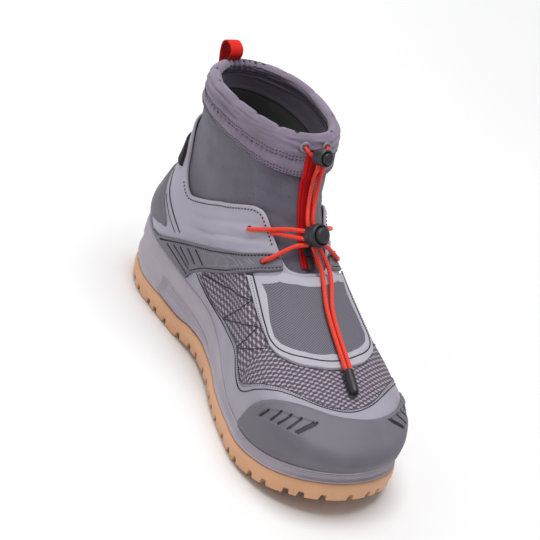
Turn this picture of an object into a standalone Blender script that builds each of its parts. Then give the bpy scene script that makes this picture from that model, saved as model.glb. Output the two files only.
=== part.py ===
# Wading shoe for the left foot: hollow upper and sock shaft on a cup midsole and a lugged outsole.
# Sizes are in millimetres until the meshes are made. +X is the toe, +Y the lateral side, +Z up.
import bpy
import bmesh
import numpy as np
from mathutils import Vector
from mathutils.geometry import delaunay_2d_cdt

for old in list(bpy.data.objects):
    bpy.data.objects.remove(old, do_unlink=True)

# Named sizes
foot_length = 300.0     # outsole, heel to toe
outsole_height = 13.3   # lug face to the joint with the midsole
lug_depth = 5.0
seam_gap = 0.3          # air between two pieces that meet
rim_width = 5.0         # wall of the midsole cup
heel_swell = 2.2        # the midsole's side standing out round the heel
insole_thick = 3.8
wall_out = 0.8          # the upper's outside, measured out from the base surface
wall_in = -1.2          # the upper's inside
sock_out = -2.0         # the shaft's outside
sock_in = -4.2          # the shaft's inside
cord_radius = 1.5
level_shaft_top = 8.20  # levels of the ring table where the shaft ends and the cuff starts
level_cuff = 8.22

# Sole outline: share of the length from the heel, half widths to each side
outline_columns = ("share", "lateral", "medial")
outline_rows = np.array([
    (0.00, 0.0, 0.0), (0.03, 26.0, 26.0), (0.07, 33.0, 33.0), (0.15, 38.5, 38.0), (0.28, 41.0, 36.5),
    (0.40, 42.0, 34.0), (0.50, 45.5, 39.0), (0.60, 50.5, 48.0), (0.70, 53.0, 55.0), (0.80, 50.5, 59.5),
    (0.88, 42.5, 56.0), (0.94, 30.0, 47.0), (0.98, 12.5, 34.0), (1.00, -13.0, 13.0)])

# Heights along the length: lug faces, footbed, top edge of the midsole
sole_columns = ("x", "lug_face", "footbed", "rim")
sole_rows = np.array([
    (0, 6.8, 30.8, 47.8), (12, 1.9, 30.4, 46.7), (26, 0.0, 30.0, 45.4), (60, 0.0, 28.8, 42.8),
    (88, 0.0, 27.8, 41.4), (110, 2.4, 26.8, 40.0), (150, 2.4, 23.4, 34.0), (180, 0.0, 20.0, 26.0),
    (205, 0.0, 18.6, 21.8), (222, 0.0, 18.3, 21.7), (250, 2.4, 20.0, 23.6), (275, 6.9, 24.0, 28.5),
    (300, 13.8, 30.0, 35.3)])

# Rings of the last from the feather line (level 0) to the cuff top: back point, front point,
# fullness at five shares of the ring's length, sideways shift of its middle and of its toe
ring_columns = ("back_x", "back_z", "front_x", "front_z", "heel", "rear", "waist", "ball", "toe",
                "mid_shift", "toe_shift")
ring_rows = np.array([
    (1.0, 48.1, 299.0, 35.6, 82, 44, 42, 61.5, 85, 0.5, -13.5),
    (1.5, 63.8, 303.0, 46.3, 81, 44, 42, 61.5, 85, 0.5, -13.5),
    (5.0, 76.8, 291.0, 55.3, 76, 43, 39, 56.5, 74, 0.5, -11.0),
    (9.5, 87.8, 262.0, 63.8, 71, 41, 37, 50.5, 61, 0.5, -7.0),
    (12.5, 96.8, 228.0, 73.8, 65, 40, 36, 46.0, 52, 0.5, -4.0),
    (14.5, 106.8, 196.0, 87.8, 58, 39, 35, 40.0, 42, 0.5, -1.5),
    (15.0, 117.8, 170.0, 104.8, 52, 38, 34, 36.0, 38, 0.0, 0.0),
    (14.0, 131.8, 150.0, 125.8, 46, 38, 34, 34.0, 38, 0.0, 0.0),
    (13.0, 147.8, 139.0, 149.8, 42, 38, 35, 35.0, 40, 0.0, 0.0),
    (12.8, 165.8, 133.5, 174.8, 39, 38, 36, 36.0, 41, 0.0, 0.0),
    (13.0, 181.8, 130.5, 191.8, 39, 38, 36, 36.0, 41, 0.0, 0.0)])

# Top edge of the upper: angle round the shoe from the toe, level on the ring table
collar_columns = ("angle", "level")
collar_rows = np.array([
    (0, 5.90), (20, 5.86), (24, 5.90), (27, 6.04), (31, 6.38), (35, 6.70), (39, 6.93), (43, 7.00),
    (49, 6.97), (56, 6.85), (64, 6.67), (75, 6.37), (88, 5.95), (103, 5.26), (114, 4.66), (120, 4.32),
    (123, 4.19), (125.5, 4.28), (128.5, 4.62), (131, 5.05), (132.7, 5.60), (134.5, 6.15), (138, 6.65),
    (143, 6.92), (150, 7.03), (165, 7.08), (180, 7.08)])

# Overlays: angle, lower edge, upper edge as levels
cap_rows = np.array([
    (-59.5, 0.06, 0.14), (-58.5, 0.06, 0.34), (-57, 0.06, 0.66), (-55, 0.06, 0.96), (-52.5, 0.06, 1.28),
    (-49.5, 0.06, 1.59), (-46, 0.06, 1.87), (-41.5, 0.06, 2.12), (-37, 0.06, 2.29), (-31.5, 0.06, 2.43),
    (-24.5, 0.06, 2.53), (-18, 0.06, 2.565), (-11.5, 0.06, 2.57), (-4.5, 0.06, 2.555), (2.5, 0.06, 2.52),
    (10, 0.06, 2.45), (17.5, 0.06, 2.37), (24, 0.06, 2.28), (30.5, 0.06, 2.17), (38, 0.06, 1.98),
    (46, 0.06, 1.68), (53, 0.06, 1.33), (60, 0.06, 0.92), (66, 0.06, 0.52), (70, 0.06, 0.25),
    (72, 0.06, 0.13)])
brace_rows = np.array([
    (28, 5.74, 5.86), (31, 5.69, 6.02), (34.5, 5.62, 6.08), (40.5, 5.48, 5.98), (46.5, 5.34, 5.84),
    (55.5, 5.04, 5.59), (64.5, 4.70, 5.30), (72, 4.36, 5.03), (79, 3.97, 4.73), (86, 3.50, 4.38),
    (95, 2.72, 3.82), (99.5, 2.26, 3.46), (103.5, 1.80, 3.12), (106.5, 1.42, 2.86), (109, 1.08, 2.64),
    (111, 0.80, 2.46), (112.5, 0.58, 2.32), (113.5, 0.40, 2.23), (115, 0.06, 2.09), (122, 0.06, 1.40),
    (126.5, 0.06, 1.00), (131, 0.06, 0.66), (136.5, 0.06, 0.32), (142, 0.06, 0.14)])
patch_rows = np.array([
    (131.5, 1.10, 1.24), (134, 1.02, 1.56), (136.5, 0.90, 1.76), (139, 0.82, 1.98), (142, 0.73, 2.20),
    (147, 0.55, 2.62), (155, 0.38, 3.10), (165, 0.28, 3.38), (180, 0.24, 3.48)])
band_rows = np.array([(137.5, 4.78, 5.62), (141, 4.62, 5.92), (150, 4.56, 6.06), (180, 4.52, 6.12)])
flap_low_rows = np.array([(0, 3.72), (12, 3.70), (27, 3.56), (36, 3.46), (43, 3.38), (47.5, 3.42)])
flap_top_rows = np.array([(0, 5.80), (26, 5.72), (34, 5.52), (45, 5.26), (60, 4.82)])


def slopes(xs, ys):
    # Slopes that keep the curve from overshooting its table
    step = np.diff(xs)
    rise = np.diff(ys) / step
    out = np.empty(len(xs))
    out[0] = rise[0]
    out[-1] = rise[-1]
    for k in range(1, len(xs) - 1):
        a = rise[k - 1]
        b = rise[k]
        wa = 2 * step[k] + step[k - 1]
        wb = step[k] + 2 * step[k - 1]
        out[k] = (wa + wb) / (wa / a + wb / b) if a * b > 0 else 0.0
    return out


def curve(xs, ys, at):
    # Smooth curve through a table, read at any values
    xs = np.asarray(xs, float)
    ys = np.asarray(ys, float)
    at = np.clip(np.asarray(at, float), xs[0], xs[-1])
    m = slopes(xs, ys)
    k = np.clip(np.searchsorted(xs, at, side="right") - 1, 0, len(xs) - 2)
    h = xs[k + 1] - xs[k]
    u = (at - xs[k]) / h
    low = (1 + 2 * u) * (1 - u) ** 2 * ys[k] + u * (1 - u) ** 2 * h * m[k]
    high = u * u * (3 - 2 * u) * ys[k + 1] + u * u * (u - 1) * h * m[k + 1]
    return low + high


outline_angle = np.arccos(2 * outline_rows[::-1, 0] - 1)


def half_plan(angle):
    # Sole outline's sideways place at an angle round the shoe, positive lateral
    angle = (np.asarray(angle, float) + np.pi) % (2 * np.pi) - np.pi
    a = np.abs(angle)
    lateral = curve(outline_angle, outline_rows[::-1, 1], a)
    medial = curve(outline_angle, outline_rows[::-1, 2], a)
    return np.where(angle >= 0, lateral, -medial)


def sole_z(column, x):
    return curve(sole_rows[:, 0], sole_rows[:, sole_columns.index(column)], x)


def ease(a):
    a = np.clip(a, 0.0, 1.0)
    return a * a * (3 - 2 * a)


def base(angle, level):
    # Point of the last's surface: ring by level, round the ring by angle (0 toe, pi heel)
    angle, level = np.broadcast_arrays(np.asarray(angle, float), np.asarray(level, float))
    steps = np.arange(len(ring_rows))
    c = {}
    for k, name in enumerate(ring_columns):
        c[name] = curve(steps, ring_rows[:, k], level)
    t = (1 + np.cos(angle)) / 2
    x = c["back_x"] + (c["front_x"] - c["back_x"]) * t
    full = np.stack([c["heel"], c["rear"], c["waist"], c["ball"], c["toe"]], -1)
    lean = np.gradient(full, axis=-1)
    k = np.minimum((t * 4).astype(int), 3)
    u = t * 4 - k

    def pick(a, j):
        return np.take_along_axis(a, j[..., None], -1)[..., 0]
    fullness = (1 + 2 * u) * (1 - u) ** 2 * pick(full, k) + u * (1 - u) ** 2 * pick(lean, k)
    fullness = fullness + u * u * (3 - 2 * u) * pick(full, k + 1) + u * u * (u - 1) * pick(lean, k + 1)
    rear = c["mid_shift"] * np.minimum(t * 2, 1) ** 1.5
    fore = (c["toe_shift"] - c["mid_shift"]) * np.maximum(t * 2 - 1, 0) ** 2
    y_ring = rear + fore + np.sin(angle) * fullness
    y_sole = half_plan(angle) * 0.98
    low = np.clip(level, 0, 1)
    w = 0.5 * ease(low) + 0.5 * low
    y = y_sole * (1 - w) + y_ring * w
    z_ring = c["back_z"] + (c["front_z"] - c["back_z"]) * t
    z_first = ring_rows[1, 1] + (ring_rows[1, 3] - ring_rows[1, 1]) * t
    z_sole = sole_z("rim", x) + seam_gap + 0.1
    z = np.where(level < 1, z_sole + (z_first - z_sole) * low, z_ring)
    return np.stack([x, y, z], -1)


def skin(angle, level, out):
    # Base surface moved out along its normal, level with the floor at the feather line
    angle, level = np.broadcast_arrays(np.asarray(angle, float), np.asarray(level, float))
    da = 2e-3
    dl = 2e-2
    top = len(ring_rows) - 1.0
    along = base(angle + da, level) - base(angle - da, level)
    up = base(angle, np.minimum(level + dl, top)) - base(angle, np.maximum(level - dl, 0))
    n = np.cross(along, up)
    n[..., 2] *= ease(level / 0.5)
    n /= np.linalg.norm(n, axis=-1, keepdims=True)
    return base(angle, level) + n * np.asarray(out, float)[..., None]


def frame_at(angle_deg, level, out):
    # Point off the surface with its normal, its upward tangent and its sideways tangent
    a = np.radians(angle_deg)
    p = skin(a, level, np.array(out))
    n = skin(a, level, np.array(1.0)) - skin(a, level, np.array(0.0))
    n /= np.linalg.norm(n)
    up = base(a, level + 0.05) - base(a, level - 0.05)
    up -= n * np.dot(n, up)
    up /= np.linalg.norm(up)
    return p, n, up, np.cross(n, up)


# Mesh makers: each gives points and faces of one closed body
def grid_faces(rows, cols, start, wrap):
    out = []
    for r in range(rows - 1):
        for c in range(cols if wrap else cols - 1):
            d = (c + 1) % cols
            out.append((start + r * cols + c, start + r * cols + d,
                        start + (r + 1) * cols + d, start + (r + 1) * cols + c))
    return out


def sheet(outer, inner, wrap):
    # Two matching grids joined round their edges
    rows, cols = outer.shape[:2]
    n = rows * cols
    faces = grid_faces(rows, cols, 0, wrap)
    faces += [f[::-1] for f in grid_faces(rows, cols, n, wrap)]
    edges = []
    for r in (0, rows - 1):
        ids = [r * cols + c for c in range(cols)]
        edges += list(zip(ids, ids[1:] + ids[:1] if wrap else ids[1:]))
    if not wrap:
        for c in (0, cols - 1):
            ids = [r * cols + c for r in range(rows)]
            edges += list(zip(ids, ids[1:]))
    faces += [(a, b, b + n, a + n) for a, b in edges]
    return np.concatenate([outer.reshape(-1, 3), inner.reshape(-1, 3)]), faces


def loop_body(loops):
    # Closed profile carried round a closed ring: loops are (profile, ring, 3)
    rows, cols = loops.shape[:2]
    closed = np.concatenate([loops, loops[:1]])
    faces = []
    for f in grid_faces(rows + 1, cols, 0, True):
        faces.append(tuple(i % (rows * cols) for i in f))
    return closed[:-1].reshape(-1, 3), faces


def stack_body(loops):
    # Rings stacked and closed at both ends by strips across the shoe
    rows, cols = loops.shape[:2]
    faces = grid_faces(rows, cols, 0, True)
    for start, flip in ((0, True), ((rows - 1) * cols, False)):
        for i in range(cols // 2):
            f = [start + i, start + i + 1, start + (cols - i - 1) % cols, start + (cols - i) % cols]
            f = tuple(dict.fromkeys(f))
            faces.append(f[::-1] if flip else f)
    return loops.reshape(-1, 3), faces


def smooth_path(points, count):
    # Points spaced along a smooth curve through the given ones
    points = np.asarray(points, float)
    s = np.concatenate([[0], np.cumsum(np.linalg.norm(np.diff(points, axis=0), axis=1))])
    m = np.gradient(points, s, axis=0)
    at = np.linspace(0, s[-1], count)
    k = np.clip(np.searchsorted(s, at, side="right") - 1, 0, len(s) - 2)
    h = (s[k + 1] - s[k])[:, None]
    u = ((at - s[k]) / h[:, 0])[:, None]
    return ((1 + 2 * u) * (1 - u) ** 2 * points[k] + u * (1 - u) ** 2 * h * m[k]
            + u * u * (3 - 2 * u) * points[k + 1] + u * u * (u - 1) * h * m[k + 1])


def swept(path, profile, side):
    # Flat profile (across, out) carried along a path; side is the fixed sideways direction
    path = np.asarray(path, float)
    go = np.gradient(path, axis=0)
    go /= np.linalg.norm(go, axis=1, keepdims=True)
    side = np.broadcast_to(np.asarray(side, float), path.shape)
    side = side - go * np.sum(side * go, axis=1, keepdims=True)
    side = side / np.linalg.norm(side, axis=1, keepdims=True)
    out = np.cross(go, side)
    prof = np.asarray(profile, float)
    loops = path[:, None] + side[:, None] * prof[None, :, 0:1] + out[:, None] * prof[None, :, 1:2]
    rows, cols = loops.shape[:2]
    faces = grid_faces(rows, cols, 0, True)
    faces.append(tuple(range(cols))[::-1])
    faces.append(tuple(range((rows - 1) * cols, rows * cols)))
    return loops.reshape(-1, 3), faces


def tube(points, count, radius, side, sides=6):
    a = np.arange(sides) * 2 * np.pi / sides
    return swept(smooth_path(points, count), np.stack([np.cos(a), np.sin(a)], 1) * radius, side)


def turned(profile, centre, axis, sides=14):
    # Profile of (radius, height) turned about an axis; it starts and ends on the axis
    axis = np.asarray(axis, float) / np.linalg.norm(axis)
    e = np.cross(axis, (0, 0, 1.0))
    e /= np.linalg.norm(e)
    g = np.cross(axis, e)
    a = np.arange(sides) * 2 * np.pi / sides
    ring = e * np.cos(a)[:, None] + g * np.sin(a)[:, None]
    points = [np.asarray(centre, float) + axis * profile[0][1]]
    for r, h in profile[1:-1]:
        points += list(np.asarray(centre, float) + axis * h + ring * r)
    points.append(np.asarray(centre, float) + axis * profile[-1][1])
    rows = len(profile) - 2
    faces = grid_faces(rows, sides, 1, True)
    last = len(points) - 1
    for i in range(sides):
        j = (i + 1) % sides
        faces.append((0, 1 + j, 1 + i))
        faces.append((last, 1 + (rows - 1) * sides + i, 1 + (rows - 1) * sides + j))
    return np.array(points), faces


def block(centre, axes, size):
    # Box with rounded front edges left off: centre, three unit axes, full sizes
    corners = []
    for i in (-0.5, 0.5):
        for j in (-0.5, 0.5):
            for k in (-0.5, 0.5):
                step = axes[0] * size[0] * i + axes[1] * size[1] * j + axes[2] * size[2] * k
                corners.append(centre + step)
    faces = [(0, 1, 3, 2), (4, 6, 7, 5), (0, 4, 5, 1), (2, 3, 7, 6), (0, 2, 6, 4), (1, 5, 7, 3)]
    return np.array(corners), faces


made = {}

# Columns shared by the sole, the upper and the shaft
half_angles = [0, 6, 12, 18, 23, 28, 31, 34, 38, 43, 49, 56, 64, 73, 83, 94, 104, 112, 118, 124,
               128, 131.5, 133.5, 138, 146, 156, 168, 180]
round_angle = np.radians(half_angles + [-a for a in half_angles[-2:0:-1]])

# Sole rings: the outline moved in by a distance, at a height column plus a rise
plan_x = foot_length * (1 + np.cos(round_angle)) / 2
plan = np.stack([plan_x, half_plan(round_angle)], 1)
run = np.roll(plan, -1, 0) - np.roll(plan, 1, 0)
run /= np.linalg.norm(run, axis=1, keepdims=True)
plan_out = np.stack([run[:, 1], -run[:, 0]], 1)
if np.sum(plan_out[0] * (1, 0)) < 0:
    plan_out = -plan_out


def sole_ring(inset, column, rise):
    p = plan - plan_out * inset
    z = sole_z(column, np.clip(plan[:, 0], 0, foot_length)) + rise
    return np.column_stack([p, z])


joint_low = sole_ring(0, "lug_face", outsole_height)[:, 2]
rim_top = sole_ring(0, "rim", 0)[:, 2]


def wall_ring(inset, share):
    # Ring of the midsole's side, by share of its height, swelling out round the heel
    swell = heel_swell * ease(1 - plan[:, 0] / 50) * ease(share / 0.3)
    r = sole_ring((inset - swell)[:, None], "rim", 0)
    r[:, 2] = joint_low + seam_gap + (rim_top - joint_low - seam_gap) * share
    return r


# Midsole cup: side with a step over the outsole, two ribs and a lip, then the inside of the cup
side_steps = ((-0.2, 0.0), (-1.2, 0.12), (0.3, 0.28), (0.9, 0.52), (0.0, 0.60), (0.4, 0.88), (0.9, 1.0))
cup = [wall_ring(inset, share) for inset, share in side_steps]
cup += [sole_ring(rim_width, "rim", 0), sole_ring(rim_width + 0.6, "footbed", 0)]
made["midsole"] = stack_body(np.stack(cup))

inner = rim_width + 1.1
made["insole"] = stack_body(np.stack([
    sole_ring(inner + 0.8, "footbed", seam_gap), sole_ring(inner, "footbed", seam_gap + 1.0),
    sole_ring(inner, "footbed", insole_thick - 0.8), sole_ring(inner + 1.2, "footbed", insole_thick)]))

# Upper and shaft
collar = curve(collar_rows[:, 0], collar_rows[:, 1], np.degrees(np.abs(round_angle)))


def upper_out(level):
    return wall_out * ease(level)


upper_share = np.array([0, 0.07, 0.16, 0.26, 0.36, 0.47, 0.60, 0.73, 0.85, 0.93, 1.0])
upper_level = collar[None, :] * upper_share[:, None]
a_grid = np.broadcast_to(round_angle, upper_level.shape)
made["upper"] = sheet(skin(a_grid, upper_level, upper_out(upper_level)),
                      skin(a_grid, upper_level, upper_out(upper_level) - (wall_out - wall_in)), True)

shaft_low = collar - 1.3
shaft_share = np.linspace(0, 1, 6)
shaft_level = shaft_low[None, :] + (level_shaft_top - shaft_low[None, :]) * shaft_share[:, None]
a_grid = np.broadcast_to(round_angle, shaft_level.shape)
made["shaft"] = sheet(skin(a_grid, shaft_level, np.full(shaft_level.shape, sock_out)),
                      skin(a_grid, shaft_level, np.full(shaft_level.shape, sock_in)), True)

# Cuff: profile of level and offset, up the outside, over the rolled rim and down the inside
cuff_profile = ((level_cuff, 0.2), (8.42, 1.4), (8.60, 0.7), (8.74, 1.5), (9.26, 1.2), (9.46, -0.6),
                (9.53, -3.2), (9.46, -5.8), (9.22, -7.0), (8.75, -5.4), (level_cuff, -4.2))
cuff_angle = np.arange(40) * 2 * np.pi / 40
made["cuff"] = loop_body(np.stack([skin(cuff_angle, np.full(40, lv), np.full(40, off))
                                   for lv, off in cuff_profile]))


def lifted(shares, lift):
    # Air under an overlay: the seam gap at its edges, a little more between them for flat facets
    return seam_gap + 0.35 + lift * ease(np.minimum(shares, 1 - shares) / 0.2)


def overlay(rows, angles_deg, shares, lift, thick, edge):
    # Piece over the upper between two level curves, thinner at its upper edge
    a = np.asarray(angles_deg, float)
    key = a if rows[0, 0] < 0 else np.abs(a)
    low = curve(rows[:, 0], rows[:, 1], key)
    high = curve(rows[:, 0], rows[:, 2], key)
    level = low[None, :] + (high - low)[None, :] * shares[:, None]
    a_grid = np.broadcast_to(np.radians(a), level.shape)
    under = upper_out(level) + lifted(shares, lift)[:, None]
    over = under + edge + (thick - edge) * ease((1 - shares) / 0.2)[:, None]
    return sheet(skin(a_grid, level, over), skin(a_grid, level, under), False)


cap_angles = np.array([-59.5, -58.2, -56, -53, -49, -43, -38, -34, -28, -23, -18, -12, -6, 0, 6, 12, 18,
                       23, 28, 34, 38, 43, 49, 56, 64, 68, 72.0])
cap_share = np.array([0, 0.2, 0.4, 0.6, 0.8, 0.92, 1.0])
made["toe_cap"] = overlay(cap_rows, cap_angles, cap_share, 0.45, 1.5, 0.5)
brace_angles = np.array([28, 31, 34, 38, 43, 49, 56, 64, 73, 83, 94, 104, 108, 112, 115, 118, 124, 128,
                         131.5, 136.5, 142.0])
brace_share = np.array([0, 0.3, 0.7, 1.0])
made["brace_medial"] = overlay(brace_rows, -brace_angles, brace_share, 0.5, 1.3, 0.9)
made["brace_lateral"] = overlay(brace_rows, brace_angles, brace_share, 0.5, 1.3, 0.9)
patch_half = np.array([131.5, 133.5, 138, 142, 146, 156, 168])
band_half = np.array([137.5, 139.5, 146, 156, 168])


def back_sheet(rows, half, shares, thick):
    # Piece round the back of the heel, the same on both sides
    angles = np.concatenate([half, [180], 360 - half[::-1]])
    key = np.where(angles > 180, 360 - angles, angles)
    low = curve(rows[:, 0], rows[:, 1], key)
    high = curve(rows[:, 0], rows[:, 2], key)
    level = low[None, :] + (high - low)[None, :] * shares[:, None]
    a_grid = np.broadcast_to(np.radians(angles), level.shape)
    under = upper_out(level) + lifted(shares, 0.5)[:, None]
    return sheet(skin(a_grid, level, under + thick), skin(a_grid, level, under), False)


made["heel_patch"] = back_sheet(patch_rows, patch_half, np.linspace(0, 1, 5), 1.1)
made["rear_band"] = back_sheet(band_rows, band_half, np.linspace(0, 1, 4), 1.7)


def flap_sheet():
    # Drop-over panel: lower edge near the toes, upper edge at the throat, sides leaning out
    across = np.linspace(-1, 1, 17)
    shares = np.linspace(0, 1, 7)
    low = curve(flap_low_rows[:, 0], flap_low_rows[:, 1], np.abs(across) * 47.5)
    high = curve(flap_top_rows[:, 0], flap_top_rows[:, 1], np.abs(across) * 60)
    level = low[None, :] + (high - low)[None, :] * shares[:, None]
    a_grid = np.radians(across[None, :] * (47.5 + 12.5 * shares[:, None]))
    under = upper_out(level) + lifted(shares, 0.55)[:, None]
    return sheet(skin(a_grid, level, under + 1.3), skin(a_grid, level, under), False)


made["vamp_flap"] = flap_sheet()


def tape_sheet():
    # Zip tape on the front of the shaft and up over the cuff
    across = np.radians(np.linspace(-8.5, 8.5, 5))
    levels = np.array([6.0, 6.3, 6.6, 7.0, 7.4, 7.8, 8.08, 8.2, 8.3, 8.42, 8.56, 8.7])
    under = sock_out + 0.8 + (1.9 - sock_out - 0.8) * ease((levels - 8.05) / 0.28)
    a_grid, l_grid = np.meshgrid(across, levels)
    u_grid = np.broadcast_to(under[:, None], l_grid.shape)
    return sheet(skin(a_grid, l_grid, u_grid + 1.0), skin(a_grid, l_grid, u_grid), False)


made["zip_tape"] = tape_sheet()

# Zip slider and the pull tab that hangs from it
tape_top = sock_out + 1.8
p, n, up, across = frame_at(0, 6.40, tape_top + 0.3 + 1.5)
made["zip_slider"] = block(p, (across, up, n), (7.0, 7.0, 3.0))
slider_low = p - up * 3.5
tab_length = 9.0
tab_round = 0.65        # rounded top end, centred on the hinge
tab_pivot = slider_low - up * (tab_round + seam_gap) + n * 0.5
tab_turn = np.linspace(0, np.pi, 9)
tab_profile = [(tab_round * np.sin(a), tab_round * np.cos(a)) for a in tab_turn]
tab_profile += [(-tab_length, -tab_round), (-tab_length, tab_round)]
tab_ends = [tab_pivot + across * w for w in (-2.3, 2.3)]
tab_grid = np.array([[end + up * h + n * d for h, d in tab_profile] for end in tab_ends])
tab_sides = len(tab_profile)
made["zip_pull_tab"] = (tab_grid.reshape(-1, 3), grid_faces(2, tab_sides, 0, True)
                        + [tuple(range(tab_sides))[::-1], tuple(range(tab_sides, 2 * tab_sides))])
tab_axis = across

# Webbing loop over the cuff's back rim
half_web = 4.75
web = ((-half_web, -0.55), (half_web, -0.55), (half_web, 0.55), (-half_web, 0.55))
rim_loop = ((17.0, -4, 175.9), (18.4, -4, 179.2), (17.2, -4, 182.4), (13.4, -4, 184.4), (9.8, -4, 184.6),
            (5.2, -4, 181.6), (4.6, -4, 175.0), (6.8, -4, 168.0), (9.0, -4, 159.5))
made["heel_pull_loop"] = swept(smooth_path(rim_loop, 17), web, (0, 1, 0))

# Cord guides on the cuff's front
ring_thick = 0.9


def ring_body(angle_deg, level, out, radius, sides=14, round_sides=5):
    p, n, up, across = frame_at(angle_deg, level, out)
    a = np.arange(sides) * 2 * np.pi / sides
    b = np.arange(round_sides) * 2 * np.pi / round_sides
    spoke = across * np.cos(a)[:, None] + up * np.sin(a)[:, None]
    loops = [p + spoke * (radius + ring_thick * np.cos(k)) + n * ring_thick * np.sin(k) for k in b]
    return loop_body(np.stack(loops))


guide_place = {"medial": (-11, 9.08), "lateral": (9.5, 9.10)}
for name, (angle, level) in guide_place.items():
    made["guide_ring_" + name] = ring_body(angle, level, 2.7, 2.9)

# Cord locks: barrel with a blind bore and a push button inside it
lock_columns = ("radius", "back", "front", "bore", "floor", "button", "button_low", "button_top")
lock_sizes = {"top": (6.0, -5.0, 5.2, 4.4, -0.6, 4.0, 3.0, 7.2),
              "main": (8.0, -8.0, 6.4, 5.8, -1.0, 5.4, 3.0, 9.4)}
lock_place = {"top": ((144.8, -0.5, 175.3), (0.92, 0.15, 0.36)),
              "main": ((164.5, -0.5, 127.3), (0.80, 0.20, 0.56))}
lock_axis = {}
for lock in ("top", "main"):
    s = dict(zip(lock_columns, lock_sizes[lock]))
    centre, axis = (np.array(v, float) for v in lock_place[lock])
    axis /= np.linalg.norm(axis)
    lock_axis[lock] = axis
    barrel = ((0, s["back"]), (s["radius"] - 1.4, s["back"]), (s["radius"], s["back"] + 1.4),
              (s["radius"], s["front"] - 1.6), (s["radius"] - 0.7, s["front"]), (s["bore"] + 0.3, s["front"]),
              (s["bore"], s["front"] - 0.4), (s["bore"], s["floor"]), (0, s["floor"]))
    button = ((0, s["button_low"]), (s["button"], s["button_low"]), (s["button"], s["button_top"] - 0.9),
              (s["button"] - 0.8, s["button_top"]), (0, s["button_top"] + 0.2))
    made[lock + "_lock_barrel"] = turned(barrel, centre, axis)
    made[lock + "_lock_button"] = turned(button, centre, axis)

# Cords: bars across the throat, draw cord between the locks, two tails into one end sleeve
up_axis = (0, 0, 1)


def lock_frame(lock):
    # Centre of a lock, the direction down across its axis and the one towards the lateral side
    down = lock_axis[lock] * lock_axis[lock][2] - np.array(up_axis)
    down /= np.linalg.norm(down)
    return np.array(lock_place[lock][0]), down, np.cross(lock_axis[lock], down)


main_centre, main_down, main_side = lock_frame("main")
top_centre, top_down, top_side = lock_frame("top")
bars = {}
for side, name in ((-1, "medial"), (1, "lateral")):
    end = main_centre - lock_axis["main"] * 4.0 + main_side * side * 9.6

    def at(angle, level, out):
        return skin(np.radians(side * angle), np.array(level), np.array(out))
    bars["lace_" + name] = [
        tube((at(54, 6.20, 2.9), at(42, 6.48, 3.6), at(26, 6.70, 5.2), end), 8, cord_radius, up_axis),
        tube((at(43, 5.70, 5.0), at(33, 6.02, 5.2), at(20, 6.32, 6.2), end), 8, cord_radius, up_axis)]

for side, name in ((-1, "medial"), (1, "lateral")):
    start = top_centre - lock_axis["top"] * 1.2 + top_down * 6.8 + top_side * 2.4 * side
    end = main_centre - lock_axis["main"] * 3.0 - main_down * 8.2 + main_side * 2.4 * side
    y = 1.0 + 2.4 * side
    path = (start, (142.6, y + 1.2, 160.8), (147.8, y - 0.4, 143.2), end)
    made["draw_cord_" + name] = tube(path, 11, 1.3, (0, 1, 0))
    angle, level = guide_place[name]
    p, n, up, across = frame_at(angle, level, 1.9)
    end = top_centre - lock_axis["top"] * 5.3 + top_side * 2.6 * side
    path = (p, p + n * 2.4, end - lock_axis["top"] * 1.0, end)
    made["collar_cord_" + name] = tube(path, 8, 1.0, up_axis)

tail_points = {
    "medial": ((173.5, 5.2, 108.2), (199.6, 2.0, 92.0), (221.0, 1.0, 82.0), (234.2, 0.1, 77.4),
               (242.3, -0.7, 74.8)),
    "lateral": ((174.5, 11.6, 107.0), (200.4, 5.9, 91.6), (221.4, 4.6, 81.7), (234.6, 3.7, 77.2),
                (242.3, 2.9, 74.6))}
for side, name in ((-1, "medial"), (1, "lateral")):
    start = main_centre - lock_axis["main"] * 2.5 + main_down * 8.7 + main_side * (2.6 * side + 1.5)
    made["lace_tail_" + name] = tube((start,) + tail_points[name], 15, cord_radius, (0, 1, 0))
sleeve_from = np.array((242.8, 1.0, 74.4))
sleeve_to = np.array((260.8, -1.6, 68.8))
sleeve_run = np.linalg.norm(sleeve_to - sleeve_from)
sleeve_profile = ((0, 0), (3.2, 0), (3.5, 0.8), (3.3, sleeve_run - 3), (2.6, sleeve_run), (0, sleeve_run))
made["end_sleeve"] = turned(sleeve_profile, sleeve_from, sleeve_to - sleeve_from, 14)
cord_nodes = ("lace_tail_medial", "lace_tail_lateral", "end_sleeve")


# Outsole: a plate whose underside is divided into lugs and the floor between them
def lug(centre, turn):
    # Three-armed block: tips and hollows in turn
    a = turn + np.arange(6) * np.pi / 3
    r = np.where(np.arange(6) % 2, lug_hollow, lug_tip)
    return centre + np.stack([np.cos(a), np.sin(a)], 1) * r[:, None]


def within(p, margin):
    # True for points inside the outline and at least the margin away from it
    to = np.roll(plan, -1, 0) - plan
    off = p[:, None] - plan[None]
    u = np.clip(np.sum(off * to, -1) / np.sum(to * to, -1), 0, 1)
    gap = np.linalg.norm(off - u[..., None] * to, axis=-1).min(1)
    end_y = plan[:, 1] + to[:, 1]
    spans = (plan[:, 1] > p[:, 1:2]) != (end_y > p[:, 1:2])
    cross = plan[:, 0] + off[..., 1] * to[:, 0] / np.where(to[:, 1] == 0, 1e-9, to[:, 1])
    inside = np.sum(spans & (p[:, 0:1] < cross), 1) % 2 == 1
    return inside & (gap > margin)


def trimmed(p, centre, margin):
    # Points outside are drawn towards the centre until they are inside
    keep = np.ones(len(p))
    low = np.zeros(len(p))
    out = ~within(p, margin)
    for k in range(16):
        half = np.where(out, (low + keep) / 2, keep)
        good = within(centre + (p - centre) * half[:, None], margin)
        low = np.where(out & good, half, low)
        keep = np.where(out & ~good, half, keep)
    return centre + (p - centre) * np.where(out, low, 1.0)[:, None]


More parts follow.
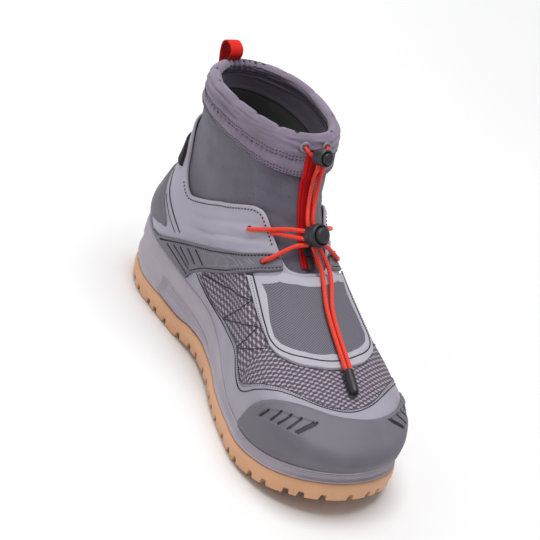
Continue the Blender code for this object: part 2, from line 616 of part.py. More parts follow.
def area(p):
    q = np.roll(p, -1, 0)
    return abs(np.sum(p[:, 0] * q[:, 1] - p[:, 1] * q[:, 0])) / 2


lug_tip = 10.4
lug_hollow = 5.2
lug_pitch = (20.5, 17.0, 6.6)   # along, across, slant of each row
lugs = []
centres = []
for row in range(-4, 5):
    for step in range(-2, 18):
        c = np.array((step * lug_pitch[0] + row * lug_pitch[2] + 6.0, row * lug_pitch[1]))
        inward = np.array((-np.sign(c[0] - 150) * (abs(c[0] - 150) > 138), -np.sign(row)), float)
        if not within(c[None] + inward * 4.0, 1.0)[0]:
            continue
        for k in range(16):
            c = c if within(c[None], 5.0)[0] else c + inward * 0.5
        p = trimmed(lug(c, 0.35 if (step + row) % 2 else 0.35 + np.pi / 3), c, 0.1)
        near = [np.linalg.norm(c - d) for d in centres]
        if area(p) > 60 and min(near + [99]) > 15.5:
            lugs.append(p)
            centres.append(c)


def outsole_body():
    # The underside is one flat triangulation; lug triangles drop to the floor and get walls
    rim = sole_ring(-1.2, "lug_face", lug_depth)
    flat = [tuple(p) for p in rim[:, :2]]
    shapes = [list(range(len(flat)))]
    for p in lugs:
        shapes.append(list(range(len(flat), len(flat) + len(p))))
        flat += [tuple(q) for q in p]
    got = delaunay_2d_cdt([Vector(p) for p in flat], [], shapes, 1, 1e-5)
    spots = np.array([tuple(p) for p in got[0]])
    count = len(spots)
    high = np.column_stack([spots, sole_z("lug_face", spots[:, 0]) + lug_depth])
    source = [list(o) for o in got[3]]
    points = [tuple(p) for p in high]
    faces = []
    drop = {}
    for face, owners in zip(got[2], got[5]):
        block = [o for o in owners if o > 0]
        if not block:
            faces.append(tuple(face))
            continue
        c = centres[block[0] - 1]
        low = []
        for i in face:
            if (i, block[0]) not in drop:
                xy = c + (spots[i] - c) * 0.93
                drop[(i, block[0])] = len(points)
                points.append((xy[0], xy[1], float(sole_z("lug_face", xy[0]))))
            low.append(drop[(i, block[0])])
        faces.append(tuple(low))
    ring_of = {}
    for i in range(count):
        for o in source[i]:
            ring_of[o] = i
    for k, shape in enumerate(shapes[1:]):
        ids = [ring_of[o] for o in shape]
        for i, j in zip(ids, ids[1:] + ids[:1]):
            faces.append((i, j, drop[(j, k + 1)], drop[(i, k + 1)]))
    top = [sole_ring(-2.0, "lug_face", lug_depth + 1.6), sole_ring(-1.4, "lug_face", outsole_height - 2.2),
           sole_ring(-0.2, "lug_face", outsole_height)]
    start = len(points)
    n = len(rim)
    for ring in top:
        points += [tuple(p) for p in ring]
    edge = [ring_of[o] for o in range(n)]
    faces += [(edge[i], edge[(i + 1) % n], start + (i + 1) % n, start + i) for i in range(n)]
    faces += grid_faces(3, n, start, True)
    last = start + 2 * n
    for i in range(n // 2):
        f = [last + i, last + i + 1, last + (n - i - 1) % n, last + (n - i) % n]
        faces.append(tuple(dict.fromkeys(f)))
    return np.array(points), faces


made["outsole"] = outsole_body()

# Origin under the middle of the part, leaving out the free cord
solid = [v for name, (v, f) in made.items() if name not in cord_nodes]
solid += [v for tubes in bars.values() for v, f in tubes]
low = np.min([v.min(0) for v in solid], axis=0)
high = np.max([v.max(0) for v in solid], axis=0)
shift = np.array([(low[0] + high[0]) / 2, (low[1] + high[1]) / 2, low[2]])

colours = {
    "outsole": (0.62, 0.36, 0.17), "midsole": (0.36, 0.33, 0.36), "insole": (0.10, 0.10, 0.11),
    "upper": (0.30, 0.29, 0.32), "shaft": (0.10, 0.10, 0.12), "cuff": (0.17, 0.15, 0.18),
    "toe_cap": (0.12, 0.12, 0.13), "heel_patch": (0.09, 0.09, 0.10), "vamp_flap": (0.30, 0.29, 0.32),
    "brace": (0.11, 0.11, 0.12), "guide": (0.30, 0.30, 0.32), "red": (0.75, 0.05, 0.02),
    "black": (0.02, 0.02, 0.023)}
red_nodes = ("zip_tape", "heel_pull_loop", "draw_cord", "collar_cord", "lace")


def colour_of(name):
    for key, value in colours.items():
        if name.startswith(key):
            return value
    return colours["red"] if name.startswith(red_nodes) else colours["black"]


def make_object(name, points, faces):
    mesh = bpy.data.meshes.new(name)
    mesh.from_pydata([tuple(p) for p in (np.asarray(points) - shift) / 1000.0], [], faces)
    bm = bmesh.new()
    bm.from_mesh(mesh)
    bmesh.ops.recalc_face_normals(bm, faces=bm.faces)
    bm.to_mesh(mesh)
    bm.free()
    thing = bpy.data.objects.new(name, mesh)
    bpy.context.collection.objects.link(thing)
    look = bpy.data.materials.new(name)
    look.use_nodes = True
    look.node_tree.nodes["Principled BSDF"].inputs["Base Color"].default_value = (*colour_of(name), 1.0)
    mesh.materials.append(look)
    return thing


def join_with(thing, cutter):
    cutter.hide_render = True
    cutter.display_type = "WIRE"
    join = thing.modifiers.new("join_" + cutter.name, "BOOLEAN")
    join.operation = "UNION"
    join.solver = "EXACT"
    join.use_self = True
    join.object = cutter


for name, (points, faces) in made.items():
    make_object(name, points, faces)
for name, tubes in bars.items():
    first = make_object(name, *tubes[0])
    for k, body in enumerate(tubes[1:]):
        join_with(first, make_object("cutter_" + name + str(k), *body))

print("shift", np.round(shift, 2), "size", np.round(high - low, 1))
print("tab pivot", np.round((tab_pivot - shift) / 1000, 5), "axis", np.round(tab_axis, 4))
for lock in ("top", "main"):
    place = (np.array(lock_place[lock][0]) - shift) / 1000
    print(lock, "lock", np.round(place, 5), "axis", np.round(lock_axis[lock], 4))
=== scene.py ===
# Left wading shoe: finishes, stitching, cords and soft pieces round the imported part
import math
import bpy
import numpy as np
from mathutils import Matrix


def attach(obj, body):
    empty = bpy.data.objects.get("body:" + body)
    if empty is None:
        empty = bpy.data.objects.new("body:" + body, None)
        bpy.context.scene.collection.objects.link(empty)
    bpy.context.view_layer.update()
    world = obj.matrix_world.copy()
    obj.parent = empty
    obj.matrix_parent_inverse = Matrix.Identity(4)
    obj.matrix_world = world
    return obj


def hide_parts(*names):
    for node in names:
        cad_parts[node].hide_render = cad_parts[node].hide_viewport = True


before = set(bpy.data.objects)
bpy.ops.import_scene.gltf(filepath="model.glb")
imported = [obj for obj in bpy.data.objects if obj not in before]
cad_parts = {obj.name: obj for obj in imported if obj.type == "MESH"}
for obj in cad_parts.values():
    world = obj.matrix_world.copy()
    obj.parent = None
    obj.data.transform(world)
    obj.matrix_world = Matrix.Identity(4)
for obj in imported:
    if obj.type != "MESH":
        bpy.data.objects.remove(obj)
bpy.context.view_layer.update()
rowShift = np.array((152.05, -3.14, 0.0))   # the last's millimetres to the row frame
bothSides = ((-1, "medial"), (1, "lateral"))

# The last, in millimetres: +X toe, +Y lateral, +Z up, heel at x = 0
lastShape = {
    "length": 300.0,
    "outline": np.array([   # share of the length, half width lateral, half width medial
        (0.00, 0.0, 0.0), (0.03, 26.0, 26.0), (0.07, 33.0, 33.0), (0.15, 38.5, 38.0), (0.28, 41.0, 36.5),
        (0.40, 42.0, 34.0), (0.50, 45.5, 39.0), (0.60, 50.5, 48.0), (0.70, 53.0, 55.0), (0.80, 50.5, 59.5),
        (0.88, 42.5, 56.0), (0.94, 30.0, 47.0), (0.98, 12.5, 34.0), (1.00, -13.0, 13.0)]),
    "sole": np.array([      # x, lug face, footbed, top edge of the midsole
        (0, 6.8, 30.8, 47.8), (12, 1.9, 30.4, 46.7), (26, 0.0, 30.0, 45.4), (60, 0.0, 28.8, 42.8),
        (88, 0.0, 27.8, 41.4), (110, 2.4, 26.8, 40.0), (150, 2.4, 23.4, 34.0), (180, 0.0, 20.0, 26.0),
        (205, 0.0, 18.6, 21.8), (222, 0.0, 18.3, 21.7), (250, 2.4, 20.0, 23.6), (275, 6.9, 24.0, 28.5),
        (300, 13.8, 30.0, 35.3)]),
    "rings": np.array([     # back x, z, front x, z, five half widths, sideways shift of middle and toe
        (1.0, 48.1, 299.0, 35.6, 82, 44, 42, 61.5, 85, 0.5, -13.5),
        (1.5, 63.8, 303.0, 46.3, 81, 44, 42, 61.5, 85, 0.5, -13.5),
        (5.0, 76.8, 291.0, 55.3, 76, 43, 39, 56.5, 74, 0.5, -11.0),
        (9.5, 87.8, 262.0, 63.8, 71, 41, 37, 50.5, 61, 0.5, -7.0),
        (12.5, 96.8, 228.0, 73.8, 65, 40, 36, 46.0, 52, 0.5, -4.0),
        (14.5, 106.8, 196.0, 87.8, 58, 39, 35, 40.0, 42, 0.5, -1.5),
        (15.0, 117.8, 170.0, 104.8, 52, 38, 34, 36.0, 38, 0.0, 0.0),
        (14.0, 131.8, 150.0, 125.8, 46, 38, 34, 34.0, 38, 0.0, 0.0),
        (13.0, 147.8, 139.0, 149.8, 42, 38, 35, 35.0, 40, 0.0, 0.0),
        (12.8, 165.8, 133.5, 174.8, 39, 38, 36, 36.0, 41, 0.0, 0.0),
        (13.0, 181.8, 130.5, 191.8, 39, 38, 36, 36.0, 41, 0.0, 0.0)]),
    "collar": np.array([    # angle from the toe, level of the upper's top edge
        (0, 5.90), (20, 5.86), (24, 5.90), (27, 6.04), (31, 6.38), (35, 6.70), (39, 6.93), (43, 7.00),
        (49, 6.97), (56, 6.85), (64, 6.67), (75, 6.37), (88, 5.95), (103, 5.26), (114, 4.66), (120, 4.32),
        (123, 4.19), (125.5, 4.28), (128.5, 4.62), (131, 5.05), (132.7, 5.60), (134.5, 6.15), (138, 6.65),
        (143, 6.92), (150, 7.03), (165, 7.08), (180, 7.08)])}


def cubic(u, step, a, b, slopeA, slopeB):
    # Cubic from a to b at the share u of a step, with the given slopes at both ends
    return ((1 + 2 * u) * (1 - u) ** 2 * a + u * (1 - u) ** 2 * step * slopeA
            + u * u * (3 - 2 * u) * b + u * u * (u - 1) * step * slopeB)


def smoothCurve(xs, ys, at):
    # Cubic through a table with harmonic mean slopes, so it never overshoots
    xs = np.asarray(xs, float)
    ys = np.asarray(ys, float)
    at = np.clip(np.asarray(at, float), xs[0], xs[-1])
    step = np.diff(xs)
    rise = np.diff(ys) / step
    slope = np.concatenate([rise[:1], rise[1:] * 0, rise[-1:]])
    wa = 2 * step[1:] + step[:-1]
    wb = step[1:] + 2 * step[:-1]
    same = rise[:-1] * rise[1:] > 0
    a = np.where(same, rise[:-1], 1.0)
    b = np.where(same, rise[1:], 1.0)
    slope[1:-1] = np.where(same, (wa + wb) / (wa / a + wb / b), 0)
    k = np.clip(np.searchsorted(xs, at, side="right") - 1, 0, len(xs) - 2)
    return cubic((at - xs[k]) / step[k], step[k], ys[k], ys[k + 1], slope[k], slope[k + 1])


def tableCurve(table, at, column=1):
    # Smooth curve of one column of a table over its first column
    return smoothCurve(table[:, 0], table[:, column], at)


def unit(vectors):
    # Vectors scaled to length 1
    return vectors / np.linalg.norm(vectors, axis=-1, keepdims=True)


def runLength(points):
    # Length along a path from its first point to each of its points
    return np.concatenate([[0], np.cumsum(np.linalg.norm(np.diff(points, axis=0), axis=1))])


def wrapped(phi):
    # Angle brought to between -180 and 180 degrees
    return (np.asarray(phi, float) + 180) % 360 - 180


def bump(a, width, power=2):
    # Smooth hump, 1 where a is 0 and fading over the width
    return np.exp(-(a / width) ** power)


def ease(a):
    # Smooth step from 0 to 1
    a = np.clip(a, 0.0, 1.0)
    return a * a * (3 - 2 * a)


def halfPlan(phi):
    # Sole outline's sideways place at an angle round the shoe, positive lateral
    phi = wrapped(phi)
    table = lastShape["outline"][::-1]
    key = np.arccos(2 * table[:, 0] - 1)
    a = np.radians(np.abs(phi))
    return np.where(phi >= 0, smoothCurve(key, table[:, 1], a), -smoothCurve(key, table[:, 2], a))


def soleHeight(column, x):
    # Height of the lug face (1), the footbed (2) or the midsole's top edge (3) along the shoe
    return tableCurve(lastShape["sole"], x, column)


def ringPoint(phi, level):
    # Ring by level, round the ring by angle; each ring is a leaning oval whose half width is a
    # smooth curve of the share of its length, shifted sideways towards the toe
    phi, level = np.broadcast_arrays(np.asarray(phi, float), np.asarray(level, float))
    angle = np.radians(phi)
    steps = np.arange(len(lastShape["rings"]))
    c = [smoothCurve(steps, lastShape["rings"][:, k], level) for k in range(11)]
    t = (1 + np.cos(angle)) / 2
    x = c[0] + (c[2] - c[0]) * t
    full = np.stack(c[4:9], -1)
    lean = np.gradient(full, axis=-1)
    k = np.minimum((t * 4).astype(int), 3)
    u = t * 4 - k

    def pick(a, j):
        return np.take_along_axis(a, j[..., None], -1)[..., 0]
    wide = cubic(u, 1.0, pick(full, k), pick(full, k + 1), pick(lean, k), pick(lean, k + 1))
    middle = c[9] * np.minimum(t * 2, 1) ** 1.5 + (c[10] - c[9]) * np.maximum(t * 2 - 1, 0) ** 2
    low = np.clip(level, 0, 1)
    w = 0.5 * ease(low) + 0.5 * low
    y = halfPlan(phi) * 0.98 * (1 - w) + (middle + np.sin(angle) * wide) * w
    zRing = c[1] + (c[3] - c[1]) * t
    firstRing = lastShape["rings"][1]
    zFirst = firstRing[1] + (firstRing[3] - firstRing[1]) * t
    zSole = soleHeight(3, x) + 0.4
    z = np.where(level < 1, zSole + (zFirst - zSole) * low, zRing)
    return np.stack([x, y, z], -1)


def lastPoint(phi, level):
    # Last's surface: the rings, averaged over a few neighbours near level 1 where the wall turns in
    level = np.asarray(level, float)
    reach = 0.4 * bump(level - 1, 0.6)
    low = ringPoint(phi, np.maximum(level - reach, 0))
    return 0.25 * low + 0.5 * ringPoint(phi, level) + 0.25 * ringPoint(phi, level + reach)


def lastNormal(phi, level):
    # Outward normal by small differences, kept level at the feather line
    phi, level = np.broadcast_arrays(np.asarray(phi, float), np.asarray(level, float))
    along = lastPoint(phi + 0.12, level) - lastPoint(phi - 0.12, level)
    up = lastPoint(phi, np.minimum(level + 0.02, 10)) - lastPoint(phi, np.maximum(level - 0.02, 0))
    n = np.cross(along, up)
    n[..., 2] *= ease(level / 0.5)
    return unit(n)


def skinPoint(phi, level, out):
    # Last's surface moved out along its normal
    return lastPoint(phi, level) + lastNormal(phi, level) * np.asarray(out, float)[..., None]


def collarLevel(phi):
    # Level of the upper's top edge at an angle, the same on both sides
    return tableCurve(lastShape["collar"], np.abs(wrapped(phi)))


def upperOut(level):
    # The upper's outside, growing from the feather line
    return 0.8 * ease(level)


def toRow(points):
    # Millimetres of the last to metres of the row frame
    return (np.asarray(points, float) - rowShift) / 1000.0


# Mesh makers. A made shape is its points, its faces in arrays of one size, and its corner coordinates
def addObject(name, made, look, stands=(), body="shoe", fields=None):
    # Object from a made shape. The volume is the sum of each triangle's corner times the cross product of
    # its other two; where it comes out negative the faces are turned to point out
    points, faces, uv = made
    points = np.asarray(points, float).reshape(-1, 3)
    faces = [np.asarray(f, np.int32) for f in faces]
    volume = 0.0
    for f in faces:
        for k in range(1, f.shape[1] - 1):
            volume += np.sum(points[f[:, 0]] * np.cross(points[f[:, k]], points[f[:, k + 1]]))
    if volume < 0:
        faces = [f[:, ::-1] for f in faces]
        uv = [u[:, ::-1] for u in uv]
    loops = np.concatenate([f.ravel() for f in faces])
    sizes = np.concatenate([np.full(len(f), f.shape[1], np.int32) for f in faces])
    corners = np.concatenate([u.reshape(-1, 2) for u in uv])
    mesh = bpy.data.meshes.new(name)
    mesh.vertices.add(len(points))
    mesh.vertices.foreach_set("co", toRow(points).astype(np.float32).ravel())
    mesh.loops.add(len(loops))
    mesh.loops.foreach_set("vertex_index", loops)
    mesh.polygons.add(len(sizes))
    mesh.polygons.foreach_set("loop_start", np.concatenate([[0], np.cumsum(sizes)[:-1]]).astype(np.int32))
    mesh.uv_layers.new(name="surface").data.foreach_set("uv", corners.astype(np.float32).ravel())
    for key, value in (fields or {}).items():
        field = mesh.attributes.new(key, "FLOAT", "POINT")
        field.data.foreach_set("value", np.ravel(value).astype(np.float32))
    mesh.update(calc_edges=True)
    mesh.validate()
    mesh.shade_smooth()
    mesh.materials.append(look)
    thing = bpy.data.objects.new(name, mesh)
    bpy.context.scene.collection.objects.link(thing)
    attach(thing, body)
    if stands:
        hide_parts(*stands)
    return thing


def gridQuads(rows, cols, wrapCols=False, wrapRows=False):
    # Quads of a grid of points, joined round where a direction is wrapped
    r = np.arange(rows if wrapRows else rows - 1)[:, None]
    c = np.arange(cols if wrapCols else cols - 1)[None]
    r2 = (r + 1) % rows
    c2 = (c + 1) % cols
    return np.stack([r * cols + c, r * cols + c2, r2 * cols + c2, r2 * cols + c], -1).reshape(-1, 4)


def gridUv(uv, wrapCols=False, wrapRows=False):
    # Corner coordinates of a grid; a wrapped grid's last corner goes on past the seam
    uv = np.asarray(uv, float)
    if wrapCols:
        past = uv[:, :1] + (uv[:, -1:] - uv[:, :1]) * uv.shape[1] / (uv.shape[1] - 1)
        uv = np.concatenate([uv, past], 1)
    if wrapRows:
        uv = np.concatenate([uv, uv[-1:]], 0)
    return np.stack([uv[:-1, :-1], uv[:-1, 1:], uv[1:, 1:], uv[1:, :-1]], -2).reshape(-1, 4, 2)


def endCaps(rows, cols):
    # First and last ring of a stack of rings as one face each
    return np.stack([np.arange(cols)[::-1], np.arange(cols) + (rows - 1) * cols])


def stacked(rings, uv):
    # Made shape from a stack of closed rings, shut at both ends
    rows, cols = rings.shape[:2]
    return (rings.reshape(-1, 3), [gridQuads(rows, cols, True), endCaps(rows, cols)],
            [gridUv(uv, True), np.stack([uv[0, ::-1], uv[-1]])])


def slab(outer, inner):
    # Made shape from two matching grids joined round their four edges
    rows, cols = outer.shape[:2]
    n = rows * cols
    ids = np.arange(n).reshape(rows, cols)
    ring = np.concatenate([ids[0, :-1], ids[:-1, -1], ids[-1, :0:-1], ids[:0:-1, 0]])
    after = np.roll(ring, -1)
    quads = gridQuads(rows, cols)
    side = np.stack([after, ring, ring + n, after + n], 1)
    uv = surfaceMap(outer)
    u = uv.reshape(-1, 2)
    flat = gridUv(uv)
    sideUv = np.stack([u[after], u[ring], u[ring], u[after]], 1)
    faces = np.concatenate([quads, quads[:, ::-1] + n, side])
    return (np.concatenate([outer.reshape(-1, 3), inner.reshape(-1, 3)]), [faces],
            [np.concatenate([flat, flat[:, ::-1], sideUv])])


def pathAt(points, run, at):
    # Cubic path through points at given lengths along it, with slopes by central differences
    slope = np.gradient(points, run, axis=0)
    k = np.clip(np.searchsorted(run, at, side="right") - 1, 0, len(run) - 2)
    step = (run[k + 1] - run[k])[:, None]
    return cubic((at - run[k])[:, None] / step, step, points[k], points[k + 1], slope[k], slope[k + 1])


def evenly(run, spacing):
    # Lengths along a path at an even spacing, both ends included
    return np.linspace(0, run[-1], max(int(round(run[-1] / spacing)), 2) + 1)


def pathThrough(points, spacing):
    # Smooth path through points, sampled at an even spacing
    points = np.asarray(points, float)
    run = runLength(points)
    return pathAt(points, run, evenly(run, spacing))


def tubeAlong(path, radius, sides=12):
    # Round tube: circle carried along a path, its ends drawn in to a small rounded tip. The circle's two
    # directions are cross products with one fixed slanting direction
    tip = 0.35 * radius
    go = unit(np.gradient(path, axis=0))
    side = unit(np.cross(go, (0.13, 0.31, 0.94)))
    over = np.cross(go, side)
    path = np.concatenate([path[:1] - go[:1] * tip, path, path[-1:] + go[-1:] * tip])
    side = np.concatenate([side[:1], side, side[-1:]])
    over = np.concatenate([over[:1], over, over[-1:]])
    size = np.full(len(path), float(radius))
    size[[0, -1]] *= 0.55
    a = np.arange(sides) * 2 * np.pi / sides
    ring = side[:, None] * np.cos(a)[None, :, None] + over[:, None] * np.sin(a)[None, :, None]
    uv = np.stack(np.broadcast_arrays(a[None] * radius, runLength(path)[:, None]), -1)
    return stacked(path[:, None] + ring * size[:, None, None], uv)


def lathe(profile, centre, axis, sides=48):
    # Profile of radius and height turned about an axis; it starts and ends near the axis
    profile = np.asarray(profile, float)
    axis = unit(np.asarray(axis, float))
    e = unit(np.cross(axis, (0, 0, 1.0)))
    g = np.cross(axis, e)
    a = np.arange(sides) * 2 * np.pi / sides
    spoke = e * np.cos(a)[:, None] + g * np.sin(a)[:, None]
    rings = np.asarray(centre, float) + profile[:, None, :1] * spoke[None] + profile[:, None, 1:] * axis
    uv = np.stack(np.broadcast_arrays(a[None] * profile[:, 0].max(), runLength(profile)[:, None]), -1)
    return stacked(rings, uv)


def joined(shapes):
    # Several made shapes as one, with faces of one size put together
    points = []
    faces = {}
    corners = {}
    start = 0
    for p, someFaces, someUv in shapes:
        points.append(p)
        for f, u in zip(someFaces, someUv):
            faces.setdefault(f.shape[1], []).append(f + start)
            corners.setdefault(f.shape[1], []).append(u)
        start += len(p)
    sizes = sorted(faces)
    return (np.concatenate(points), [np.concatenate(faces[k]) for k in sizes],
            [np.concatenate(corners[k]) for k in sizes])


def onLast(line, spacing=1.0, out=0.8):
    # A line of (angle, level) drawn on the last: evenly spaced points, normals, angles and levels
    line = np.asarray(line, float)
    run = runLength(lastPoint(line[:, 0], line[:, 1]))
    fine = pathAt(line, run, np.linspace(0, run[-1], max(int(run[-1] * 4), 8)))
    run = runLength(lastPoint(fine[:, 0], fine[:, 1]))
    even = evenly(run, spacing)
    phi = np.interp(even, run, fine[:, 0])
    level = np.interp(even, run, fine[:, 1])
    return skinPoint(phi, level, np.full(len(phi), out)), lastNormal(phi, level), phi, level


def straightLine(line, count=14):
    # Straight runs between the given (angle, level) corners, with points added so that they stay straight
    line = np.asarray(line, float)
    u = np.linspace(0, 1, count, endpoint=False)[:, None]
    return np.concatenate([a + (b - a) * u for a, b in zip(line[:-1], line[1:])] + [line[-1:]])


def mirrored(line):
    # Line of (angle, level) on the other side of the shoe
    return [(-a, b) for a, b in line]


def acrossToe(line):
    # Line that ends at angle 0, gone on along its mirror image
    return line + mirrored(line)[-2::-1]


def stitches(points, normals, length, radius):
    # Row of short threads: one small flattened capsule of 5 rings of 6 for each point, lying along the row
    go = unit(np.gradient(points, axis=0))
    side = unit(np.cross(normals, go))
    over = np.cross(go, side)
    along = np.array((-0.5, -0.38, 0.0, 0.38, 0.5))[:, None] * length
    thick = np.array((0.35, 0.85, 1.0, 0.85, 0.35))[:, None] * radius
    dip = np.array((-0.7, -0.1, 0.25, -0.1, -0.7))[:, None] * radius
    a = np.arange(6)[None] * np.pi / 3
    local = np.stack(np.broadcast_arrays(along, np.cos(a) * thick, np.sin(a) * thick * 0.7 + dip), -1)
    local = local.reshape(-1, 3)
    p = (points[:, None] + go[:, None] * local[None, :, :1] + side[:, None] * local[None, :, 1:2]
         + over[:, None] * local[None, :, 2:])
    start = np.arange(len(points))[:, None, None] * len(local)
    quads = (gridQuads(5, 6, True)[None] + start).reshape(-1, 4)
    caps = (endCaps(5, 6)[None] + start).reshape(-1, 6)
    return p.reshape(-1, 3), [quads, caps], [np.zeros((len(quads), 4, 2)), np.zeros((len(caps), 6, 2))]


def insideOutline(x, y, corners):
    # True where a line drawn sideways from a point crosses the closed outline an odd number of times
    after = np.roll(corners, -1, 0)
    x = np.ravel(x)[:, None]
    y = np.ravel(y)[:, None]
    rise = after[:, 1] - corners[:, 1]
    spans = (corners[:, 1] > y) != (after[:, 1] > y)
    rise = np.where(rise == 0, 1e-9, rise)
    cross = corners[:, 0] + (y - corners[:, 1]) * (after[:, 0] - corners[:, 0]) / rise
    return np.sum(spans & (x < cross), 1) % 2 == 1


def awayFrom(phi, level, line, closed=False):
    # Distance in mm from surface points to a drawn line; positive inside a closed outline, negative outside
    line = np.asarray(line, float)
    fine = straightLine(np.concatenate([line, line[:1]]) if closed else line, 8)
    q = lastPoint(fine[:, 0], fine[:, 1])
    a = q[:-1]
    ab = q[1:] - a
    size = np.sum(ab * ab, 1)
    spots = lastPoint(phi, level).reshape(-1, 3)
    far = np.empty(len(spots))
    batch = 3000
    for k in range(0, len(spots), batch):
        off = spots[k:k + batch, None] - a[None]
        t = np.clip(np.einsum("ijk,jk->ij", off, ab) / size, 0, 1)
        far[k:k + batch] = np.sqrt(((off - t[..., None] * ab) ** 2).sum(-1).min(1))
    px, py = np.broadcast_arrays(phi, level)
    if closed:
        far = np.where(insideOutline(px, py, line), far, -far)
    return far.reshape(px.shape)


def farFromAny(phi, level, lines):
    # Distance in mm to the nearest of several straight-sided lines
    return np.min([awayFrom(phi, level, straightLine(line, 6)) for line in lines], 0)


def clothMap(phi, level):
    # Cloth coordinates in mm: distance round the cross-section from the ridge, distance along the shoe, and
    # distance round the cross-section from the feather line. Each cross-section is sampled from the feather
    # line to the ridge, closer together near the ridge. Behind the throat a section has no ridge, so the
    # first distance is counted from the given level there
    throatX, throatLevel = 168, 3.0
    xs = np.linspace(40, 303, 133)
    shares = np.linspace(0, 1, 81)
    rings = lastShape["rings"]
    steps = np.arange(len(rings))
    fine = np.linspace(1, 10, 400)
    front = smoothCurve(steps, rings[:, 2], fine)
    ridge = np.interp(xs, front[::-1], fine[::-1])
    levels = ridge[:, None] * (1 - (1 - shares) ** 2)
    first = smoothCurve(steps, rings[:, 0], levels)
    last = smoothCurve(steps, rings[:, 2], levels)
    t = np.clip((xs[:, None] - first) / (last - first), 0, 1)
    angles = np.degrees(np.arccos(2 * t - 1))
    spot = ringPoint(phi, level)
    fx = np.clip((spot[..., 0] - xs[0]) / (xs[1] - xs[0]), 0, len(xs) - 1.001)
    i = fx.astype(int)
    u = fx - i
    top = ridge[i] * (1 - u) + ridge[i + 1] * u
    throat = int(np.searchsorted(xs, throatX))
    fs = (1 - np.sqrt(1 - np.clip(level / top, 0, 1))) * (len(shares) - 1)
    j = np.minimum(fs.astype(int), len(shares) - 2)
    v = fs - j
    far = []
    rise = []
    for side in (1, -1):
        p = ringPoint(side * angles, levels)
        move = np.linalg.norm(np.diff(p[..., 1:], axis=1), axis=-1)
        arc = np.concatenate([np.cumsum(move[:, ::-1], 1)[:, ::-1], np.zeros((len(xs), 1))], 1)
        atLevel = np.array([np.interp(throatLevel, levels[k], arc[k]) for k in range(len(xs))])
        arc[:throat] += (atLevel[throat] - atLevel[:throat])[:, None]
        far.append(arc[i, j] * (1 - u) * (1 - v) + arc[i + 1, j] * u * (1 - v) + arc[i, j + 1] * (1 - u) * v
                   + arc[i + 1, j + 1] * u * v)
        rise.append(arc[i, 0] * (1 - u) + arc[i + 1, 0] * u - far[-1])
    lateral = phi >= 0
    upSide = np.where(lateral, rise[0], rise[1])
    return np.stack([np.where(lateral, far[0], -far[1]), spot[..., 0], upSide], -1)


def surfaceRun(points, axis):
    # Length along one direction of a grid, from its first row or column
    step = np.linalg.norm(np.diff(points, axis=axis), axis=-1)
    return np.concatenate([np.zeros_like(step.take([0], axis)), np.cumsum(step, axis)], axis)


def surfaceMap(points):
    # Coordinates in mm along the middle row and along each column of a grid
    across = surfaceRun(points, 1)[len(points) // 2]
    return np.stack(np.broadcast_arrays(across, surfaceRun(points, 0)), -1)


print("stage: last and mesh makers ready")


def place(tree, kind, inputs=None, **settings):
    # One node with its settings; an input is a value or another node's socket
    made = tree.nodes.new(kind)
    for key, value in settings.items():
        setattr(made, key, value)
    for key, value in (inputs or {}).items():
        if isinstance(value, bpy.types.NodeSocket):
            tree.links.new(value, made.inputs[key])
        else:
            made.inputs[key].default_value = value
    return made


def mathOf(tree, operation, a, b=0.0, clamp=False):
    # One calculation on two values, held between 0 and 1 if clamped
    return place(tree, "ShaderNodeMath", {0: a, 1: b}, operation=operation, use_clamp=clamp).outputs[0]


def times(tree, a, b):
    return mathOf(tree, "MULTIPLY", a, b)


def plus(tree, a, b):
    return mathOf(tree, "ADD", a, b)


def minus(tree, a, b):
    return mathOf(tree, "SUBTRACT", a, b)


def waveOf(tree, value, pitch):
    # Sine that changes sign once in every pitch
    return mathOf(tree, "SINE", mathOf(tree, "DIVIDE", times(tree, value, math.pi), pitch))


def stepOf(tree, value, low, high):
    # Smooth mask of a value between two limits
    return place(tree, "ShaderNodeMapRange", {"Value": value, "From Min": low, "From Max": high},
                 interpolation_type="SMOOTHSTEP").outputs["Result"]


def mixOf(tree, share, a, b):
    # Colour between two colours
    return place(tree, "ShaderNodeMix", {0: share, 6: a, 7: b}, data_type="RGBA").outputs[2]


def fieldOf(tree, name):
    # Value stored at the mesh's points
    return place(tree, "ShaderNodeAttribute", attribute_name=name).outputs["Fac"]


def uvOf(tree):
    # The mesh's coordinates in mm
    return place(tree, "ShaderNodeUVMap", uv_map="surface").outputs[0]


def objectOf(tree):
    # Place in the object's own space, in metres
    return place(tree, "ShaderNodeTexCoord").outputs["Object"]


def newGroup(name, ins, outs):
    # Shader group with (label, kind, value) inputs and labelled values put out
    group = bpy.data.node_groups.new(name, "ShaderNodeTree")
    for label, kind, value in ins:
        socket = group.interface.new_socket(label, in_out="INPUT", socket_type=kind)
        if value is not None:
            socket.default_value = value
    for label in outs:
        group.interface.new_socket(label, in_out="OUTPUT", socket_type=floatKind)
    start = group.nodes.new("NodeGroupInput")
    end = group.nodes.new("NodeGroupOutput")
    return group, start.outputs, end.inputs


floatKind = "NodeSocketFloat"
vectorKind = "NodeSocketVector"

# Staggered threads: product of a sine across and a sine along, from 0 in the gaps to 1 on the threads
threadGroup, inputs, outputs = newGroup("staggeredThreads", [
    ("Surface", vectorKind, None), ("Across", floatKind, 2.0), ("Along", floatKind, 2.0)], ["Height"])
split = place(threadGroup, "ShaderNodeSeparateXYZ", {0: inputs["Surface"]}).outputs
both = times(threadGroup, waveOf(threadGroup, split[0], inputs["Across"]),
             waveOf(threadGroup, split[1], inputs["Along"]))
threadGroup.links.new(plus(threadGroup, times(threadGroup, both, 0.5), 0.5), outputs["Height"])

